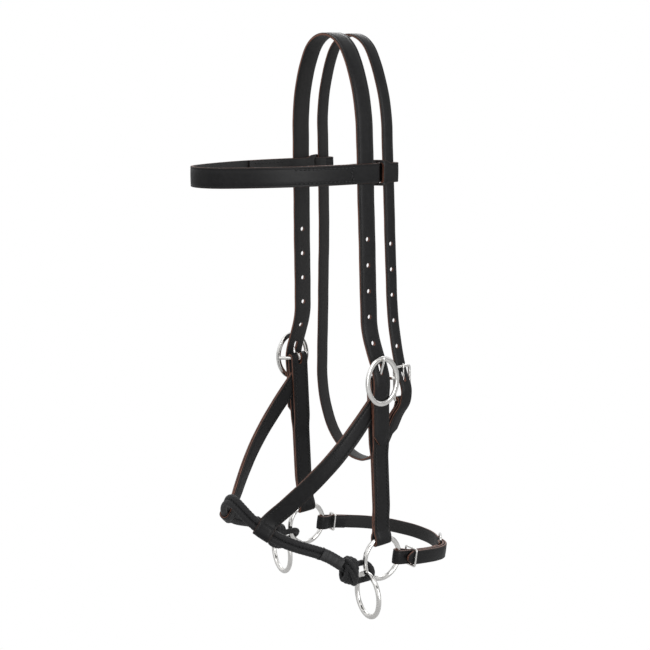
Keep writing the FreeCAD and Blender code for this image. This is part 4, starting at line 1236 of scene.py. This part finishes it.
def chin_slot(along, radius, depth, stretch):
    """Cutter for the tongue's slot, a distance along the buckle from its bar."""
    return cutter(CHIN.put(*(HEEL + BUCKLE_WAY * along)), radius, depth, stretch, CHIN.turn(BUCKLE_OUT),
                  CHIN.turn(BUCKLE_WAY))


boolean_cut(chin, [chin_slot(8.5, 1.3, 14.0, 4.0)])
stand_in(chin, "chin_strap")

chape_outer = lay((66, 16.3), 0, CHIN, "xy", -1, "L3.9,90 S19 L117,20 L31.2,40 L2.5,180 S8", 1.5)
chape_inner = lay((66, 16.3), 180, CHIN, "xy", 1, "R3.9,90 R16.6,32.8 L16.6,32.8 L114.5,20", 1.5)
chape = strap("chin_chape_leather", chape_inner[::-1] + chape_outer[1:], CHIN_WIDTH, CHIN_THICK, "chin",
              crease=1.8, rng=29)
boolean_cut(chape, [chin_slot(-0.6, 1.5, 12.0, 3.0)])
stand_in(chape, "chin_chape")

middle = (HEEL + FAR) * 0.5
span = (FAR - HEEL).length
outline = rounded_rectangle(span, 20.5, 2.2, 0.7)
points = [CHIN.put(*(middle + BUCKLE_WAY * p.x + Z_AXIS * p.y)) for p in outline]
chin_frame = wire("chin_buckle_wire", points, 1.22, "chin", closed=True)
stand_in(chin_frame, "chin_buckle_frame")
prong = tongue("chin_tongue_metal", CHIN, HEEL, BUCKLE_WAY, BUCKLE_OUT, 2.25, 0.88, 0.0, span + 2.4)
stand_in(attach(prong, "chin_tongue"), "chin_buckle_tongue")

for label, low, high in (("near", 60.9, 75.1), ("off", -70.9, -64.2)):
    outline = rounded_rectangle(high - low + 3.2, CHIN_WIDTH + 3.2, 1.6, 0.6)
    points = [CHIN.put((low + high) / 2 + p.x, 36.0, p.y) for p in outline]
    keeper = wire(f"chin_keeper_wire_{label}", points, 1.0, f"keeper_{label}", closed=True, sides=14)
    stand_in(keeper, f"chin_keeper_{label}")


# ---- floor, light and camera

def area(name, place, size, power):
    """A soft rectangular lamp that faces the bridle."""
    data = bpy.data.lights.new(name, "AREA")
    data.shape = "RECTANGLE"
    data.size, data.size_y = size
    data.energy = power
    lamp = placed(name, data)
    lamp.location = place
    lamp.rotation_euler = (AIM - Vector(place)).to_track_quat("-Z", "Y").to_euler()


def grey(level):
    return (level, level, level)


def build_floor():
    corners = ((-1, -1), (1, -1), (1, 1), (-1, 1))
    look = new_look("pale_floor")
    look.set(Base_Color=look.ramp(look.noise(1.5), (0.3, grey(0.50)), (0.7, grey(0.54))), Roughness=0.9,
             Specular_IOR_Level=0.1)
    look.white_to_camera("ShaderNodeEmission")
    points = [Vector((x * FLOOR_REACH, y * FLOOR_REACH, FLOOR_LEVEL)) for x, y in corners]
    placed("floor", new_mesh("floor", points, [(0, 1, 2, 3)], [look.owner]))


def build_world():
    """White paper to the camera; a dim studio with soft light and dark panels to everything else."""
    world = bpy.data.worlds.new("studio")
    bpy.context.scene.world = world
    look = Look(world, "ShaderNodeOutputWorld", "ShaderNodeBackground")
    parts = look.node("ShaderNodeSeparateXYZ")
    look.feed(parts.inputs["Vector"], look.direction)
    height = look.spread(parts.outputs["Z"], 0.0, 1.0, -1.0, 1.0)
    sky = look.ramp(height, (0.15, grey(0.30)), (0.44, grey(0.50)), (0.56, (0.82, 0.82, 0.83)),
                    (0.9, (0.86, 0.86, 0.87)))
    panels = look.ramp(look.noise(2.2, 1.0, 0.4, look.direction), (0.38, grey(0.06)), (0.44, grey(1.0)))
    look.set(Color=look.mix(1.0, sky, panels, "MULTIPLY"))
    look.white_to_camera("ShaderNodeBackground")


FLOOR_REACH = 30000.0
FLOOR_LEVEL = -660.0
AIM = Vector((0.0, 0.0, -0.28))
build_floor()
build_world()
area("key_top", (0.5, -0.7, 1.5), (1.2, 0.9), 5.0)
area("side_near", (1.7, 0.2, 0.0), (0.35, 1.6), 10.0)
area("front_left", (-0.4, -1.8, 0.1), (0.4, 1.6), 1.5)
area("rear", (-1.2, 1.4, 0.6), (0.9, 0.9), 8.0)

AZIMUTH, ELEVATION, DISTANCE = math.radians(54), math.radians(10.6), 1.368
SENSOR = 36.0
FOCAL_SHARE = 1359 / 650
level = math.cos(ELEVATION)
back = Vector((math.sin(AZIMUTH) * level, -math.cos(AZIMUTH) * level, math.sin(ELEVATION)))
lens = bpy.data.cameras.new("camera")
lens.sensor_width = SENSOR
lens.lens = SENSOR * FOCAL_SHARE
camera = placed("camera", lens)
camera.location = Vector((0.0, -0.0059, -0.2853)) + back * DISTANCE
camera.rotation_euler = (-back).to_track_quat("-Z", "Y").to_euler()
bpy.context.scene.camera = camera
bpy.context.scene.view_settings.view_transform = "Standard"
